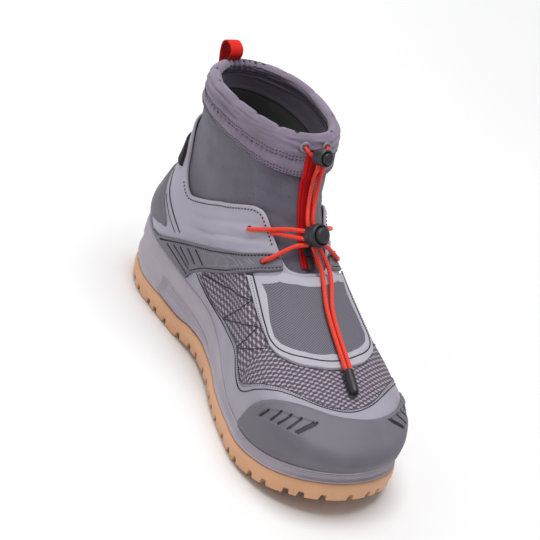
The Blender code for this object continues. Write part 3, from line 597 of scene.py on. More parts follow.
# Plaited cord: two sets of slanting strands crossing each other, four round the cord
plaitGroup, inputs, outputs = newGroup("plaitedStrands", [
    ("Surface", vectorKind, None), ("Round", floatKind, 9.4), ("Pitch", floatKind, 3.0)], ["Height"])
split = place(plaitGroup, "ShaderNodeSeparateXYZ", {0: inputs["Surface"]}).outputs
turn = times(plaitGroup, mathOf(plaitGroup, "DIVIDE", split[0], inputs["Round"]), 4.0)
move = mathOf(plaitGroup, "DIVIDE", split[1], inputs["Pitch"])
both = times(plaitGroup, waveOf(plaitGroup, plus(plaitGroup, turn, move), 1.0),
             waveOf(plaitGroup, minus(plaitGroup, turn, move), 1.0))
plaitGroup.links.new(mathOf(plaitGroup, "ABSOLUTE", both), outputs["Height"])

# Mottle: slow noise for colour and fast noise for grain, each about 0.5 in the middle
mottleGroup, inputs, outputs = newGroup("softMottle", [
    ("Place", vectorKind, None), ("Coarse", floatKind, 40.0), ("Fine", floatKind, 900.0)], ["Cloud", "Grain"])
for scale, detail, label in (("Coarse", 3.0, "Cloud"), ("Fine", 2.0, "Grain")):
    noise = place(mottleGroup, "ShaderNodeTexNoise", {
        "Vector": inputs["Place"], "Scale": inputs[scale], "Detail": detail})
    mottleGroup.links.new(noise.outputs["Fac"], outputs[label])

# Line mask: 1 on a line of the given half width, soft at its edges
lineGroup, inputs, outputs = newGroup("softLine", [
    ("Distance", floatKind, 0.0), ("Half Width", floatKind, 0.5), ("Soft", floatKind, 0.3)], ["Mask"])
past = minus(lineGroup, mathOf(lineGroup, "ABSOLUTE", inputs["Distance"]), inputs["Half Width"])
edge = mathOf(lineGroup, "DIVIDE", past, inputs["Soft"])
lineGroup.links.new(minus(lineGroup, 1.0, stepOf(lineGroup, edge, 0.0, 1.0)), outputs["Mask"])


def groupOf(tree, group, inputs, output):
    # One value put out by a shader group
    return place(tree, "ShaderNodeGroup", inputs, node_tree=group).outputs[output]


def threadsOf(tree, surface, across, along):
    # Staggered threads at two spacings in mm
    return groupOf(tree, threadGroup, {"Surface": surface, "Across": across, "Along": along}, "Height")


def lineOf(tree, field, halfWidth, soft):
    # Mask of a drawn line from the field of distances to it
    inputs = {"Distance": fieldOf(tree, field), "Half Width": halfWidth, "Soft": soft}
    return groupOf(tree, lineGroup, inputs, "Mask")


def mottleOf(tree, coarse, fine):
    # Slow noise as a mask and fast noise as a grain
    made = place(tree, "ShaderNodeGroup", {"Place": objectOf(tree), "Coarse": coarse, "Fine": fine},
                 node_tree=mottleGroup).outputs
    return made["Cloud"], made["Grain"]


def startMaterial(name, roughness, **sockets):
    # Material whose shader has the given constants, with spaces in their names written as underlines
    look = bpy.data.materials.new(name)
    look.use_nodes = True
    tree = look.node_tree
    shader = tree.nodes["Principled BSDF"]
    shader.inputs["Roughness"].default_value = roughness
    for key, value in sockets.items():
        shader.inputs[key.replace("_", " ")].default_value = value
    return look, tree, shader


def colourInto(tree, shader, colour):
    # Colour of the material
    tree.links.new(colour, shader.inputs["Base Color"])


def bumpInto(tree, shader, height, distance, strength=1.0, under=None):
    # Bump on top of another normal, if there is one
    inputs = {"Height": height, "Distance": distance, "Strength": strength}
    if under is not None:
        inputs["Normal"] = under
    out = place(tree, "ShaderNodeBump", inputs).outputs[0]
    tree.links.new(out, shader.inputs["Normal"])
    return out


tone = {   # display colours of the finishes, some as a darker and a paler tone
    "rand": ((156, 150, 164), (163, 157, 171)), "quarter": ((168, 163, 179), (174, 169, 185)),
    "knit": ((80, 72, 85), (180, 168, 184)), "rim": (178, 168, 180), "lining": (70, 66, 74),
    "neoprene": ((86, 82, 97), (99, 95, 111)), "sockInside": (13, 10, 15), "pinhole": (40, 40, 45),
    "cuff": ((112, 99, 120), (137, 122, 144)), "cuffInside": (84, 71, 91),
    "insole": ((58, 57, 62), (74, 72, 78)), "brace": ((103, 100, 110), (115, 112, 122)),
    # The slot tone is painted shade inside the sunk slots and vents
    "cap": ((106, 103, 113), (114, 111, 121)), "mark": (150, 148, 158), "slot": (38, 36, 42),
    "mesh": ((82, 80, 91), (128, 125, 139)), "flapFrame": ((174, 171, 183), (180, 177, 189)),
    "midsole": ((171, 162, 174), (178, 170, 180)), "dot": (138, 130, 140),
    # The gum's second tone is painted shade for the outsole's recesses
    "gum": ((219, 165, 124), (226, 173, 133)), "gumRecessShade": (190, 138, 100),
    # The red tape's second tone is painted shade for the loop's back face
    "redTape": ((192, 22, 22), (236, 46, 34)), "redTapeShadedBack": (172, 30, 22),
    # The zip's second tone is painted shade on its coil and seams
    "zipTape": ((204, 8, 14), (230, 26, 24)), "zipCoilShade": (140, 2, 10),
    "blackTape": ((26, 26, 30), (52, 52, 58)),
    "cord": ((214, 36, 20), (250, 66, 36)), "plastic": ((36, 36, 41), (46, 46, 52)),
    "darkThread": ((30, 29, 34), (48, 46, 53)), "greyThread": ((70, 66, 73), (92, 88, 96)),
    "plumThread": ((66, 57, 67), (86, 76, 88)), "ring": ((126, 119, 132), (142, 135, 148)),
    "floor": ((238.6, 238.6, 239.8), (242.25, 242.25, 242.25))}


def shade(rgb):
    # Display colour from 0 to 255 as the linear colour a shader wants
    v = np.asarray(rgb, float) / 255.0
    linear = np.where(v <= 0.04045, v / 12.92, ((v + 0.055) / 1.055) ** 2.4)
    return (*[float(c) for c in linear], 1.0)


def toneOf(tree, share, name):
    # Colour between a finish's two tones
    low, high = tone[name]
    return mixOf(tree, share, shade(low), shade(high))


def mottled(tree, shader, name, coarse=45.0, fine=1400.0, grainDepth=0.00012, rough=None):
    # Colour, and roughness if given, between two values by slow noise, with a fine grain in the surface
    cloud, grain = mottleOf(tree, coarse, fine)
    colour = toneOf(tree, stepOf(tree, cloud, 0.3, 0.7), name)
    colourInto(tree, shader, colour)
    if rough is not None:
        spread = place(tree, "ShaderNodeMapRange", {
            "Value": cloud, "From Min": 0.3, "From Max": 0.7, "To Min": rough[0], "To Max": rough[1]})
        tree.links.new(spread.outputs["Result"], shader.inputs["Roughness"])
    return colour, bumpInto(tree, shader, grain, grainDepth)


print("stage: shader groups ready")

# Camera: the photograph's angle to the shoe, rolled because the shoe stands flat here
cameraPlan = {"turn": -35.8, "rise": 29.0, "roll": 18.1, "target": (150.0, 0.0, 71.8), "slide": (-8.7, 15.7),
              "distance": 2116.0, "lens": 211.6}
turn, rise, roll = (math.radians(cameraPlan[k]) for k in ("turn", "rise", "roll"))
toCamera = np.array((math.cos(rise) * math.cos(turn), math.cos(rise) * math.sin(turn), math.sin(rise)))
flatRight = np.array((-math.sin(turn), math.cos(turn), 0.0))
flatUp = np.cross(toCamera, flatRight)
viewRight = flatRight * math.cos(roll) + flatUp * math.sin(roll)
viewUp = flatUp * math.cos(roll) - flatRight * math.sin(roll)
aim = np.array(cameraPlan["target"]) + viewRight * cameraPlan["slide"][0] + viewUp * cameraPlan["slide"][1]


def faced(place, right, up, back):
    # Matrix of a camera or light from its place and its three directions
    m = np.eye(4)
    m[:3, :3] = np.stack([right, up, back], 1)
    m[:3, 3] = place
    return Matrix(m.tolist())


camera = bpy.data.objects.new("photoCamera", bpy.data.cameras.new("photoCamera"))
bpy.context.scene.collection.objects.link(camera)
camera.data.lens = cameraPlan["lens"]
camera.data.sensor_width = 36.0
camera.matrix_world = faced(toRow(aim + toCamera * cameraPlan["distance"]), viewRight, viewUp, toCamera)
bpy.context.scene.camera = camera
bpy.context.scene.view_settings.view_transform = "Standard"

# Soft studio light: right, up and back of the shoe as the camera sees it, in metres
lightPlan = {
    "key": {"place": (0.5, 1.35, 0.95), "size": 1.1, "power": 26.0},
    "fill": {"place": (-1.2, 0.5, 0.9), "size": 1.4, "power": 2.2},
    "rear": {"place": (-0.3, 1.3, -0.9), "size": 1.2, "power": 7.0}}
for lightName, plan in lightPlan.items():
    lamp = bpy.data.objects.new(lightName, bpy.data.lights.new(lightName, "AREA"))
    lamp.data.energy = plan["power"]
    lamp.data.size = plan["size"]
    away = viewRight * plan["place"][0] + viewUp * plan["place"][1] + toCamera * plan["place"][2]
    back = unit(away)
    across = unit(np.cross((0.2, 0.1, 1.0), back))
    lamp.matrix_world = faced(toRow(aim) + away, across, np.cross(back, across), back)
    bpy.context.scene.collection.objects.link(lamp)
world = bpy.data.worlds.new("paleStudio")
world.use_nodes = True
world.node_tree.nodes["Background"].inputs["Color"].default_value = (1.0, 1.0, 1.0, 1.0)
world.node_tree.nodes["Background"].inputs["Strength"].default_value = 0.38
bpy.context.scene.world = world

floorLook, tree, shader = startMaterial("paleFloor", 0.85)
mottled(tree, shader, "floor", 3.0, 60.0, 0.0001)
floorPlan = {"half": 4.0, "drop": 0.0002}   # metres; just under the lugs
floorSpots = [(a * floorPlan["half"], b * floorPlan["half"], -floorPlan["drop"])
              for a, b in ((-1, -1), (1, -1), (1, 1), (-1, 1))]
floorMesh = bpy.data.meshes.new("floor")
floorMesh.from_pydata(floorSpots, [], [(0, 1, 2, 3)])
floorMesh.materials.append(floorLook)
floorThing = bpy.data.objects.new("floor", floorMesh)
bpy.context.scene.collection.objects.link(floorThing)
print("stage: camera, light and floor placed")

# Finishes
knitPlan = {   # spacing of the knit's stitches across and along the shoe in mm, and where its rows turn
    "side": (1.77, 4.7), "toe": (3.1, 1.75), "turnsAt": (206.0, 213.0),
    "yarn": (1.3, 1.15), "yarnShare": 0.26}
shellLook, tree, shader = startMaterial("upperShell", 0.62)
surface = uvOf(tree)
cloud, grain = mottleOf(tree, 38.0, 1500.0)
cloud = stepOf(tree, cloud, 0.3, 0.7)
knit = stepOf(tree, fieldOf(tree, "knitEdge"), -0.1, 0.4)
# The knit's rows run along the sides and turn across the toe; finer yarns show between them
along = place(tree, "ShaderNodeSeparateXYZ", {0: surface}).outputs[1]
upSide = place(tree, "ShaderNodeCombineXYZ", {0: fieldOf(tree, "upSide"), 1: along}).outputs[0]
toToe = stepOf(tree, along, *knitPlan["turnsAt"])
loops = plus(tree, times(tree, threadsOf(tree, surface, *knitPlan["toe"]), toToe),
             times(tree, threadsOf(tree, upSide, *knitPlan["side"]), minus(tree, 1.0, toToe)))
threads = plus(tree, times(tree, loops, 1 - knitPlan["yarnShare"]),
               times(tree, threadsOf(tree, upSide, *knitPlan["yarn"]), knitPlan["yarnShare"]))
onQuarter = stepOf(tree, fieldOf(tree, "quarterSide"), -1.0, 1.0)
shellTone = mixOf(tree, onQuarter, toneOf(tree, cloud, "rand"), toneOf(tree, cloud, "quarter"))
rimMask = minus(tree, 1.0, stepOf(tree, fieldOf(tree, "rimDrop"), 1.2, 1.9))
shellTone = mixOf(tree, rimMask, shellTone, shade(tone["rim"]))
shellTone = mixOf(tree, knit, shellTone, toneOf(tree, stepOf(tree, threads, 0.38, 0.86), "knit"))
shellTone = mixOf(tree, fieldOf(tree, "inside"), shellTone, shade(tone["lining"]))
colourInto(tree, shader, shellTone)
bumpInto(tree, shader, plus(tree, times(tree, knit, threads), times(tree, grain, 0.1)), 0.00045, 0.9)
rough = place(tree, "ShaderNodeMapRange", {"Value": knit, "To Min": 0.52, "To Max": 0.85}).outputs["Result"]
tree.links.new(rough, shader.inputs["Roughness"])


def clothLook(name, tones, across, along, depth, pinholes=0.0, insideTone=None):
    # Jersey cloth: fine threads on the surface map, slow colour change, pinholes from cell distances
    look, tree, shader = startMaterial(name, 0.85, Sheen_Weight=0.25, Sheen_Roughness=0.6)
    surface = uvOf(tree)
    cloud, grain = mottleOf(tree, 55.0, 1800.0)
    threads = threadsOf(tree, surface, across, along)
    share = plus(tree, times(tree, stepOf(tree, cloud, 0.3, 0.7), 0.6), times(tree, threads, 0.4))
    colour = toneOf(tree, share, tones)
    height = plus(tree, threads, times(tree, grain, 0.5))
    if pinholes:
        cells = place(tree, "ShaderNodeTexVoronoi", {
            "Vector": surface, "Scale": 1.0 / pinholes, "Randomness": 0.35})
        hole = minus(tree, 1.0, stepOf(tree, cells.outputs["Distance"], 0.09, 0.17))
        colour = mixOf(tree, times(tree, hole, 0.8), colour, shade(tone["pinhole"]))
        height = minus(tree, height, times(tree, hole, 1.5))
    if insideTone:
        colour = mixOf(tree, fieldOf(tree, "inside"), colour, shade(tone[insideTone]))
    colourInto(tree, shader, colour)
    bumpInto(tree, shader, height, depth, 0.8)
    return look


neopreneLook = clothLook("neopreneJersey", "neoprene", 0.55, 0.8, 0.00012, 3.4, "sockInside")
cuffLook = clothLook("stretchCuff", "cuff", 0.5, 0.75, 0.00014, 0.0, "cuffInside")
insoleLook = clothLook("insoleCloth", "insole", 0.7, 0.7, 0.00015)


def mouldedLook(name, tones, rough, slotHalf):
    # Moulded film: slow colour change, fine grain, slots painted near black as shade in their sunk recesses,
    # and pale raised lines where fields say so
    look, tree, shader = startMaterial(name, 0.55)
    colour, normal = mottled(tree, shader, tones, 45.0, 1700.0, 0.00007, rough)
    slot = lineOf(tree, "slotFar", slotHalf, 0.3)
    mark = lineOf(tree, "markFar", 0.2, 0.5)
    colour = mixOf(tree, times(tree, mark, 0.35), colour, shade(tone["mark"]))
    # Painted shade: the sunk slots are painted near black
    colourInto(tree, shader, mixOf(tree, slot, colour, shade(tone["slot"])))
    bumpInto(tree, shader, minus(tree, times(tree, mark, 0.3), slot), 0.0007, 0.9, normal)
    return look


braceLook = mouldedLook("darkBrace", "brace", (0.52, 0.66), 0.55)
capLook = mouldedLook("darkToeCap", "cap", (0.56, 0.7), 0.6)

flapLook, tree, shader = startMaterial("flapPanel", 0.65)
cloud, grain = mottleOf(tree, 40.0, 1500.0)
window = stepOf(tree, fieldOf(tree, "windowEdge"), -0.15, 0.35)
mesh = threadsOf(tree, uvOf(tree), 0.85, 0.85)
frameTone = toneOf(tree, stepOf(tree, cloud, 0.3, 0.7), "flapFrame")
colourInto(tree, shader, mixOf(tree, window, frameTone, toneOf(tree, stepOf(tree, mesh, 0.35, 0.75), "mesh")))
bumpInto(tree, shader, plus(tree, times(tree, window, mesh), times(tree, grain, 0.12)), 0.0003, 0.9)

midsoleLook, tree, shader = startMaterial("foamMidsole", 0.6)
colour, normal = mottled(tree, shader, "midsole", 40.0, 1600.0, 0.00008, (0.52, 0.66))
cells = place(tree, "ShaderNodeTexVoronoi", {"Vector": uvOf(tree), "Scale": 1 / 1.9, "Randomness": 0.0})
inDot = minus(tree, 1.0, stepOf(tree, cells.outputs["Distance"], 0.22, 0.34))
dots = times(tree, inDot, fieldOf(tree, "dotPatch"))
colourInto(tree, shader, mixOf(tree, times(tree, dots, 0.7), colour, shade(tone["dot"])))
bumpInto(tree, shader, times(tree, dots, -1.0), 0.0005, 0.8, normal)

gumLook, tree, shader = startMaterial("gumRubber", 0.6)
colour, normal = mottled(tree, shader, "gum", 45.0, 1300.0, 0.0001, (0.5, 0.65))
# Painted shade: the field deep darkens the gum on the plate between the lugs, in the wall's notches and at
# the lugs' roots and hollows
colourInto(tree, shader, mixOf(tree, fieldOf(tree, "deep"), colour, shade(tone["gumRecessShade"])))


def wovenLook(name, tones, across, along, shadeTone=None):
    # Narrow woven tape: staggered threads, and a darker tone of painted shade where the field says so: on a
    # loop's back face, on a zip's coil and seams
    look, tree, shader = startMaterial(name, 0.75, Specular_IOR_Level=0.2)
    threads = threadsOf(tree, uvOf(tree), across, along)
    cloud, grain = mottleOf(tree, 120.0, 1500.0)
    share = mathOf(tree, "MULTIPLY", stepOf(tree, threads, 0.15, 0.75), plus(tree, cloud, 0.4), True)
    colour = toneOf(tree, share, tones)
    if shadeTone:
        colour = mixOf(tree, fieldOf(tree, "back"), colour, shade(tone[shadeTone]))
    colourInto(tree, shader, colour)
    bumpInto(tree, shader, threads, 0.00025, 0.9)
    return look


redTapeLook = wovenLook("redTape", "redTape", 0.75, 1.1, "redTapeShadedBack")
blackTapeLook = wovenLook("blackTape", "blackTape", 0.75, 1.1)
zipLook = wovenLook("redZipTape", "zipTape", 0.6, 0.8, "zipCoilShade")

cordLook, tree, shader = startMaterial("plaitedCord", 0.6, Sheen_Weight=0.1)
plait = groupOf(tree, plaitGroup, {"Surface": uvOf(tree), "Round": 9.42, "Pitch": 2.2}, "Height")
colourInto(tree, shader, toneOf(tree, stepOf(tree, plait, 0.0, 0.6), "cord"))
bumpInto(tree, shader, plait, 0.00025, 0.8)


def plainLook(name, tones, roughness, coarse, fine, grainDepth, rough=None):
    # Mottled finish with nothing else on it
    look, tree, shader = startMaterial(name, roughness)
    mottled(tree, shader, tones, coarse, fine, grainDepth, rough)
    return look


plasticLook = plainLook("blackPlastic", "plastic", 0.42, 90.0, 2600.0, 0.00006, (0.36, 0.5))
ringLook = plainLook("satinRing", "ring", 0.4, 120.0, 2400.0, 0.00004, (0.32, 0.45))
threadLook = plainLook("darkThread", "darkThread", 0.8, 300.0, 3000.0, 0.00008)
greyThreadLook = plainLook("greyThread", "greyThread", 0.8, 300.0, 3000.0, 0.00008)
cuffThreadLook = plainLook("plumThread", "plumThread", 0.85, 300.0, 3000.0, 0.00008)
print("stage: finishes ready")


def at(phi, level, out):
    # One point off the last
    return skinPoint(np.array(float(phi)), np.array(float(level)), np.array(float(out)))


def frameAt(phi, level, out):
    # Point off the last with its outward, upward and sideways directions
    n = lastNormal(np.array(float(phi)), np.array(float(level)))
    up = lastPoint(phi, level + 0.05) - lastPoint(phi, level - 0.05)
    up = unit(up - n * np.dot(n, up))
    return at(phi, level, out), n, up, np.cross(n, up)


# Cord locks: where they hang and which way their buttons face
lockPlan = {   # barrel and button are profiles of radius and height along the lock's axis
    "top": {
        "centre": (144.8, -0.5, 175.3), "axis": (0.92, 0.15, 0.36), "sides": 48,
        "barrel": ((0.2, -5.0), (3.4, -5.0), (4.4, -4.8), (5.2, -4.2), (5.5, -3.2), (5.6, -1.6), (5.6, 0.4),
                   (5.75, 1.0), (6.0, 1.3), (6.0, 3.9), (5.9, 4.5), (5.6, 5.0), (5.2, 5.2), (4.8, 5.1),
                   (4.55, 4.8), (4.45, 4.3), (4.4, -0.6), (0.2, -0.6)),
        "button": ((0.2, 3.0), (4.0, 3.0), (4.0, 5.9), (3.9, 6.4), (3.6, 6.8), (3.1, 7.0), (2.4, 7.05),
                   (1.2, 7.15), (0.2, 7.2))},
    "main": {
        "centre": (164.5, -0.5, 127.3), "axis": (0.80, 0.20, 0.56), "sides": 56,
        "barrel": ((0.2, -8.0), (2.6, -8.0), (4.4, -7.6), (5.9, -6.7), (6.8, -5.2), (7.2, -3.4), (7.3, -1.4),
                   (7.3, 0.4), (7.4, 1.2), (7.8, 1.6), (8.0, 2.2), (8.0, 4.4), (7.8, 5.4), (7.4, 6.1),
                   (6.9, 6.4), (6.4, 6.3), (6.0, 5.9), (5.85, 5.2), (5.8, -1.0), (0.2, -1.0)),
        "button": ((0.2, 3.0), (5.4, 3.0), (5.4, 7.4), (5.25, 8.1), (4.9, 8.6), (4.3, 8.95), (3.2, 9.15),
                   (1.6, 9.3), (0.2, 9.35))}}


def lockFrame(name):
    # Centre and axis of a lock, the way down across its axis and the way to the lateral side
    axis = unit(np.array(lockPlan[name]["axis"]))
    down = unit(axis * axis[2] - np.array((0.0, 0.0, 1.0)))
    return np.array(lockPlan[name]["centre"]), axis, down, np.cross(axis, down)


mainCentre, mainAxis, mainDown, mainSide = lockFrame("main")
topCentre, topAxis, topDown, topSide = lockFrame("top")

# Free lace ends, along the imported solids' own routes, and the sleeve that holds them
tailPlan = {
    "radius": 1.5, "spacing": 0.8,
    "medial": ((173.5, 5.2, 108.2), (199.6, 2.0, 92.0), (221.0, 1.0, 82.0), (234.2, 0.1, 77.4),
               (242.3, -0.7, 74.8)),
    "lateral": ((174.5, 11.6, 107.0), (200.4, 5.9, 91.6), (221.4, 4.6, 81.7), (234.6, 3.7, 77.2),
                (242.3, 2.9, 74.6)),
    "sleeveFrom": (242.8, 1.0, 74.4), "sleeveTo": (260.8, -1.6, 68.8)}
sleeveRun = np.array(tailPlan["sleeveTo"]) - np.array(tailPlan["sleeveFrom"])
far = float(np.linalg.norm(sleeveRun))
sleeveProfile = ((0.2, 0.2), (2.5, 0.0), (3.1, 0.2), (3.45, 0.8), (3.5, 1.6), (3.42, far * 0.5),
                 (3.3, far - 4.0), (3.1, far - 2.2), (2.8, far - 0.9), (2.3, far - 0.15),
                 (1.7, far), (1.2, far - 0.4), (0.2, far - 0.5))
sleeve = addObject("endSleeve", lathe(sleeveProfile, tailPlan["sleeveFrom"], sleeveRun, 36), plasticLook,
                   ("end_sleeve",))
for sign, name in bothSides:
    start = mainCentre - mainAxis * 2.5 + mainDown * 7.2 + mainSide * (2.6 * sign + 1.5)
    path = pathThrough((start,) + tailPlan[name], tailPlan["spacing"])
    tail = addObject("laceTail" + name.title(), tubeAlong(path, tailPlan["radius"]), cordLook,
                     ("lace_tail_" + name,))
    route = [tuple(p) for p in toRow(path[::4])] + [tuple(toRow(path[-1]))]
print("stage: lace ends hang from the main lock")

# Lace through the eyelets, draw cord between the locks, collar cord out of its guides
lacePlan = {
    "laceRadius": 1.5, "drawRadius": 1.3, "collarRadius": 1.0, "spacing": 0.8,
    "routes": (   # angle, level and distance off the last, from under the upper towards the main lock
        ((57.0, 6.21, -0.6), (55.7, 6.225, 1.4), (52.6, 6.29, 2.6), (41.4, 6.52, 3.0), (29.6, 6.71, 3.6),
         (17.9, 6.83, 6.0)),
        ((36.5, 6.50, -1.2), (32.8, 6.58, 1.0), (21.4, 6.65, 4.0)),
        ((45.4, 5.62, 0.6), (44.3, 5.65, 2.6), (42.2, 5.71, 4.2), (37.7, 5.85, 4.5), (26.2, 6.19, 4.8),
         (12.4, 6.45, 7.0))),
    "ends": ((-4.0, 0.0), (1.2, 0.0), (5.4, -1.5)),   # down and outwards on the lock's side
    "guides": {"medial": (-11.0, 9.08), "lateral": (9.5, 9.10)}, "ringRadius": 2.9, "ringHalf": (0.9, 0.75)}
for sign, name in bothSides:
    title = name.title()
    end = mainCentre - mainAxis * 3.6 + mainSide * sign * 5.6
    laces = []
    for route, (down, out) in zip(lacePlan["routes"], lacePlan["ends"]):
        spots = [at(sign * a, b, c) for a, b, c in route] + [end + mainDown * down + mainSide * (sign * out)]
        laces.append(tubeAlong(pathThrough(spots, lacePlan["spacing"]), lacePlan["laceRadius"]))
    addObject("lace" + title, joined(laces), cordLook, ("lace_" + name,))
    y = 1.0 + 2.4 * sign
    underTop = topCentre - topAxis * 1.2 + topSide * 2.4 * sign
    overMain = mainCentre - mainAxis * 3.0 + mainSide * 2.4 * sign
    route = (underTop + topDown * 5.0, underTop + topDown * 6.8, (142.6, y + 1.2, 160.8),
             (147.8, y - 0.4, 143.2), overMain - mainDown * 8.2, overMain - mainDown * 6.6)
    drawCord = tubeAlong(pathThrough(route, lacePlan["spacing"]), lacePlan["drawRadius"])
    addObject("drawCord" + title, drawCord, cordLook, ("draw_cord_" + name,))
    guide = lacePlan["guides"][name]
    p, n = frameAt(*guide, 0.4)[:2]
    end = topCentre - topAxis * 4.2 + topSide * 2.6 * sign
    route = (p, p + n * 1.5, p + n * 3.6, end - topAxis * 1.6, end)
    collarCord = tubeAlong(pathThrough(route, 0.6), lacePlan["collarRadius"])
    addObject("collarCord" + title, collarCord, cordLook, ("collar_cord_" + name,))
    a = np.arange(12) * np.pi / 6
    wide, high = lacePlan["ringHalf"]
    section = np.stack([lacePlan["ringRadius"] + wide * np.cos(a), high * np.sin(a)], 1)
    quads = gridQuads(12, 40, True, True)
    ring = (lathe(section, at(*guide, 2.7), n, 40)[0], [quads], [np.zeros((len(quads), 4, 2))])
    addObject("guideRing" + title, ring, ringLook, ("guide_ring_" + name,))
print("stage: laces, draw cord and collar cord run")

for lock in ("top", "main"):
    plan = lockPlan[lock]
    for piece, body in (("barrel", "shoe"), ("button", lock + "_button")):
        made = lathe(plan[piece], plan["centre"], plan["axis"], plan["sides"])
        addObject(lock + "Lock" + piece.title(), made, plasticLook,
                  (lock + "_lock_" + piece,), body)
print("stage: cord locks turned")


def mixedShares(count):
    # Shares from 0 to 1, half even and half cosine, so that they are close at both ends
    u = np.linspace(0, 1, count)
    return 0.5 * u + 0.25 * (1 - np.cos(np.pi * u))


def edgeFar(points):
    # Distance in mm along a grid's rows and columns to its nearest edge, and to its low and high edges
    u = surfaceRun(points, 1)
    low = surfaceRun(points, 0)
    high = low[-1:] - low
    return np.minimum(np.minimum(u, u[:, -1:] - u), np.minimum(low, high)), low, high


def addSlab(name, outer, inner, look, stands, fields):
    # Two grids as one closed piece, with the same fields on both
    pair = {key: np.concatenate([value.ravel(), value.ravel()]) for key, value in fields.items()}
    return addObject(name, slab(outer, inner), look, stands, fields=pair)


def addLoop(name, rings, uv, look, stands, fields):
    # Closed profile carried round the shoe
    rows, cols = rings.shape[:2]
    made = (rings, [gridQuads(rows, cols, True, True)], [gridUv(uv, True, True)])
    return addObject(name, made, look, stands, fields=fields)


def roundShoe(columns):
    # Angles round the shoe from the back, in degrees
    return np.linspace(-180, 180, columns, endpoint=False)


def drawnLine(levelOf, first, last, count, sign=1):
    # Line of (angle, level) along a curve of level over angle
    angles = np.linspace(first, last, count)
    return list(zip(sign * angles, levelOf(angles)))


def roundEdge(far, soft):
    # Quarter circle drop towards an edge
    a = 1 - np.clip(far / soft, 0, 1)
    return soft * (1 - np.sqrt(1 - a * a))


def shiftedLine(line, up, spacing=2.0):
    # Drawn line moved sideways on the last by a distance in mm, towards higher levels if positive
    p, n, phi, level = onLast(line, spacing)
    side = unit(np.cross(n, np.gradient(p, axis=0)))
    byPhi = (lastPoint(phi + 0.2, level) - lastPoint(phi - 0.2, level)) / 0.4
    low = np.maximum(level - 0.02, 0)
    byLevel = (lastPoint(phi, level + 0.02) - lastPoint(phi, low)) / (level + 0.02 - low)[:, None]
    side *= np.sign(np.sum(side * byLevel, 1, keepdims=True))
    # The move in angle and level that gives the sideways step, by two equations in two unknowns
    a = np.sum(byPhi * byPhi, 1)
    b = np.sum(byPhi * byLevel, 1)
    c = np.sum(byLevel * byLevel, 1)
    d = np.sum(side * byPhi, 1) * up
    e = np.sum(side * byLevel, 1) * up
    k = a * c - b * b
    return np.stack([phi + (d * c - e * b) / k, np.maximum(level + (e * a - d * b) / k, 0.0)], 1)


def threadRow(line, spacing, length, radius, out):
    # Stitches along a drawn line
    p, n = onLast(line, spacing, out)[:2]
    return stitches(p, n, length, radius)


def cordOnLast(line, radius, out):
    # Thin cord along a drawn line
    return tubeAlong(onLast(line, 1.0, out)[0], radius, 8)


# Upper: outside from the feather line to the collar, round the rim and down the inside
upperPlan = {
    "columns": 460, "outerRows": 108, "innerRows": 22,
    "rim": 0.07, "wall": 2.0, "knitDip": 0.35, "fold": 0.95,
    "valleys": ((0.35, 0.05, 1.0), (0.67, 0.045, 0.8)),   # share up the quarter, half width, depth
    "rolls": ((0.22, 0.09, 1.0), (0.51, 0.09, 0.8)), "quarter": (36, 128), "rimAngles": (27, 139)}
knitLow = [
    (-108.5, 1.04), (-106.2, 0.92), (-103.6, 0.83), (-101.1, 0.77), (-98.4, 0.75), (-94.1, 0.87),
    (-89.6, 1.01),
    (-86.5, 1.08), (-83.4, 1.14), (-80.2, 1.21), (-77.3, 1.24), (-75.5, 1.18), (-74.1, 1.07), (-72.7, 0.98),
    (-71.4, 0.91), (-69.5, 0.84), (-67.5, 0.80), (-65.5, 0.87), (-62.1, 1.14), (-58.6, 1.52), (-54.8, 1.86),
    (-50.6, 2.15), (-46.9, 2.33), (-43, 2.48), (-39.2, 2.59), (-34.1, 2.69), (-29.1, 2.75), (-24.2, 2.775),
    (-19.5, 2.785), (-14.6, 2.79), (-9.7, 2.795), (-4, 2.795), (0, 2.79)]
knitTop = [(-102, 2.4), (-91, 3.4), (-77, 4.3), (-66, 4.9), (-58, 5.12), (-50, 5.0), (-30, 5.3), (0, 5.4)]
knitOutline = acrossToe(knitLow) + mirrored(knitTop) + knitTop[-2::-1]
braceEdges = np.array([   # angle, lower edge, upper edge
    (27.2, 5.80, 5.98), (28.5, 5.74, 6.09), (31, 5.69, 6.11), (34.5, 5.62, 6.08), (40.5, 5.48, 5.98),
    (46.5, 5.34, 5.84), (55.5, 5.04, 5.59), (64.5, 4.70, 5.30), (72, 4.36, 5.03), (79, 3.97, 4.73),
    (86, 3.50, 4.38), (95, 2.72, 3.82), (99.5, 2.26, 3.46), (103.5, 1.80, 3.12), (106.5, 1.42, 2.86),
    (109, 1.08, 2.64), (111, 0.80, 2.46), (112.5, 0.58, 2.32), (113.5, 0.40, 2.23), (115, 0.06, 2.09),
    (122, 0.06, 1.40), (126.5, 0.06, 1.00), (131, 0.06, 0.66), (136.5, 0.06, 0.32), (142, 0.06, 0.14)])
around = roundShoe(upperPlan["columns"])
rimLevel = collarLevel(around) - upperPlan["rim"]
outerLevel = rimLevel * np.linspace(0, 1, upperPlan["outerRows"])[:, None]
outerPhi = np.broadcast_to(around, outerLevel.shape)
knitEdge = awayFrom(outerPhi, outerLevel, knitOutline, True)
braceTop = tableCurve(braceEdges, np.abs(outerPhi), 2)
upShare = (outerLevel - braceTop) / (rimLevel - braceTop)
front, back = upperPlan["quarter"]
onQuarter = ease((np.abs(outerPhi) - front) / 14) * ease((back - np.abs(outerPhi)) / 16)
onQuarter = onQuarter * ease(upShare / 0.12) * ease((1 - upShare) / 0.12)
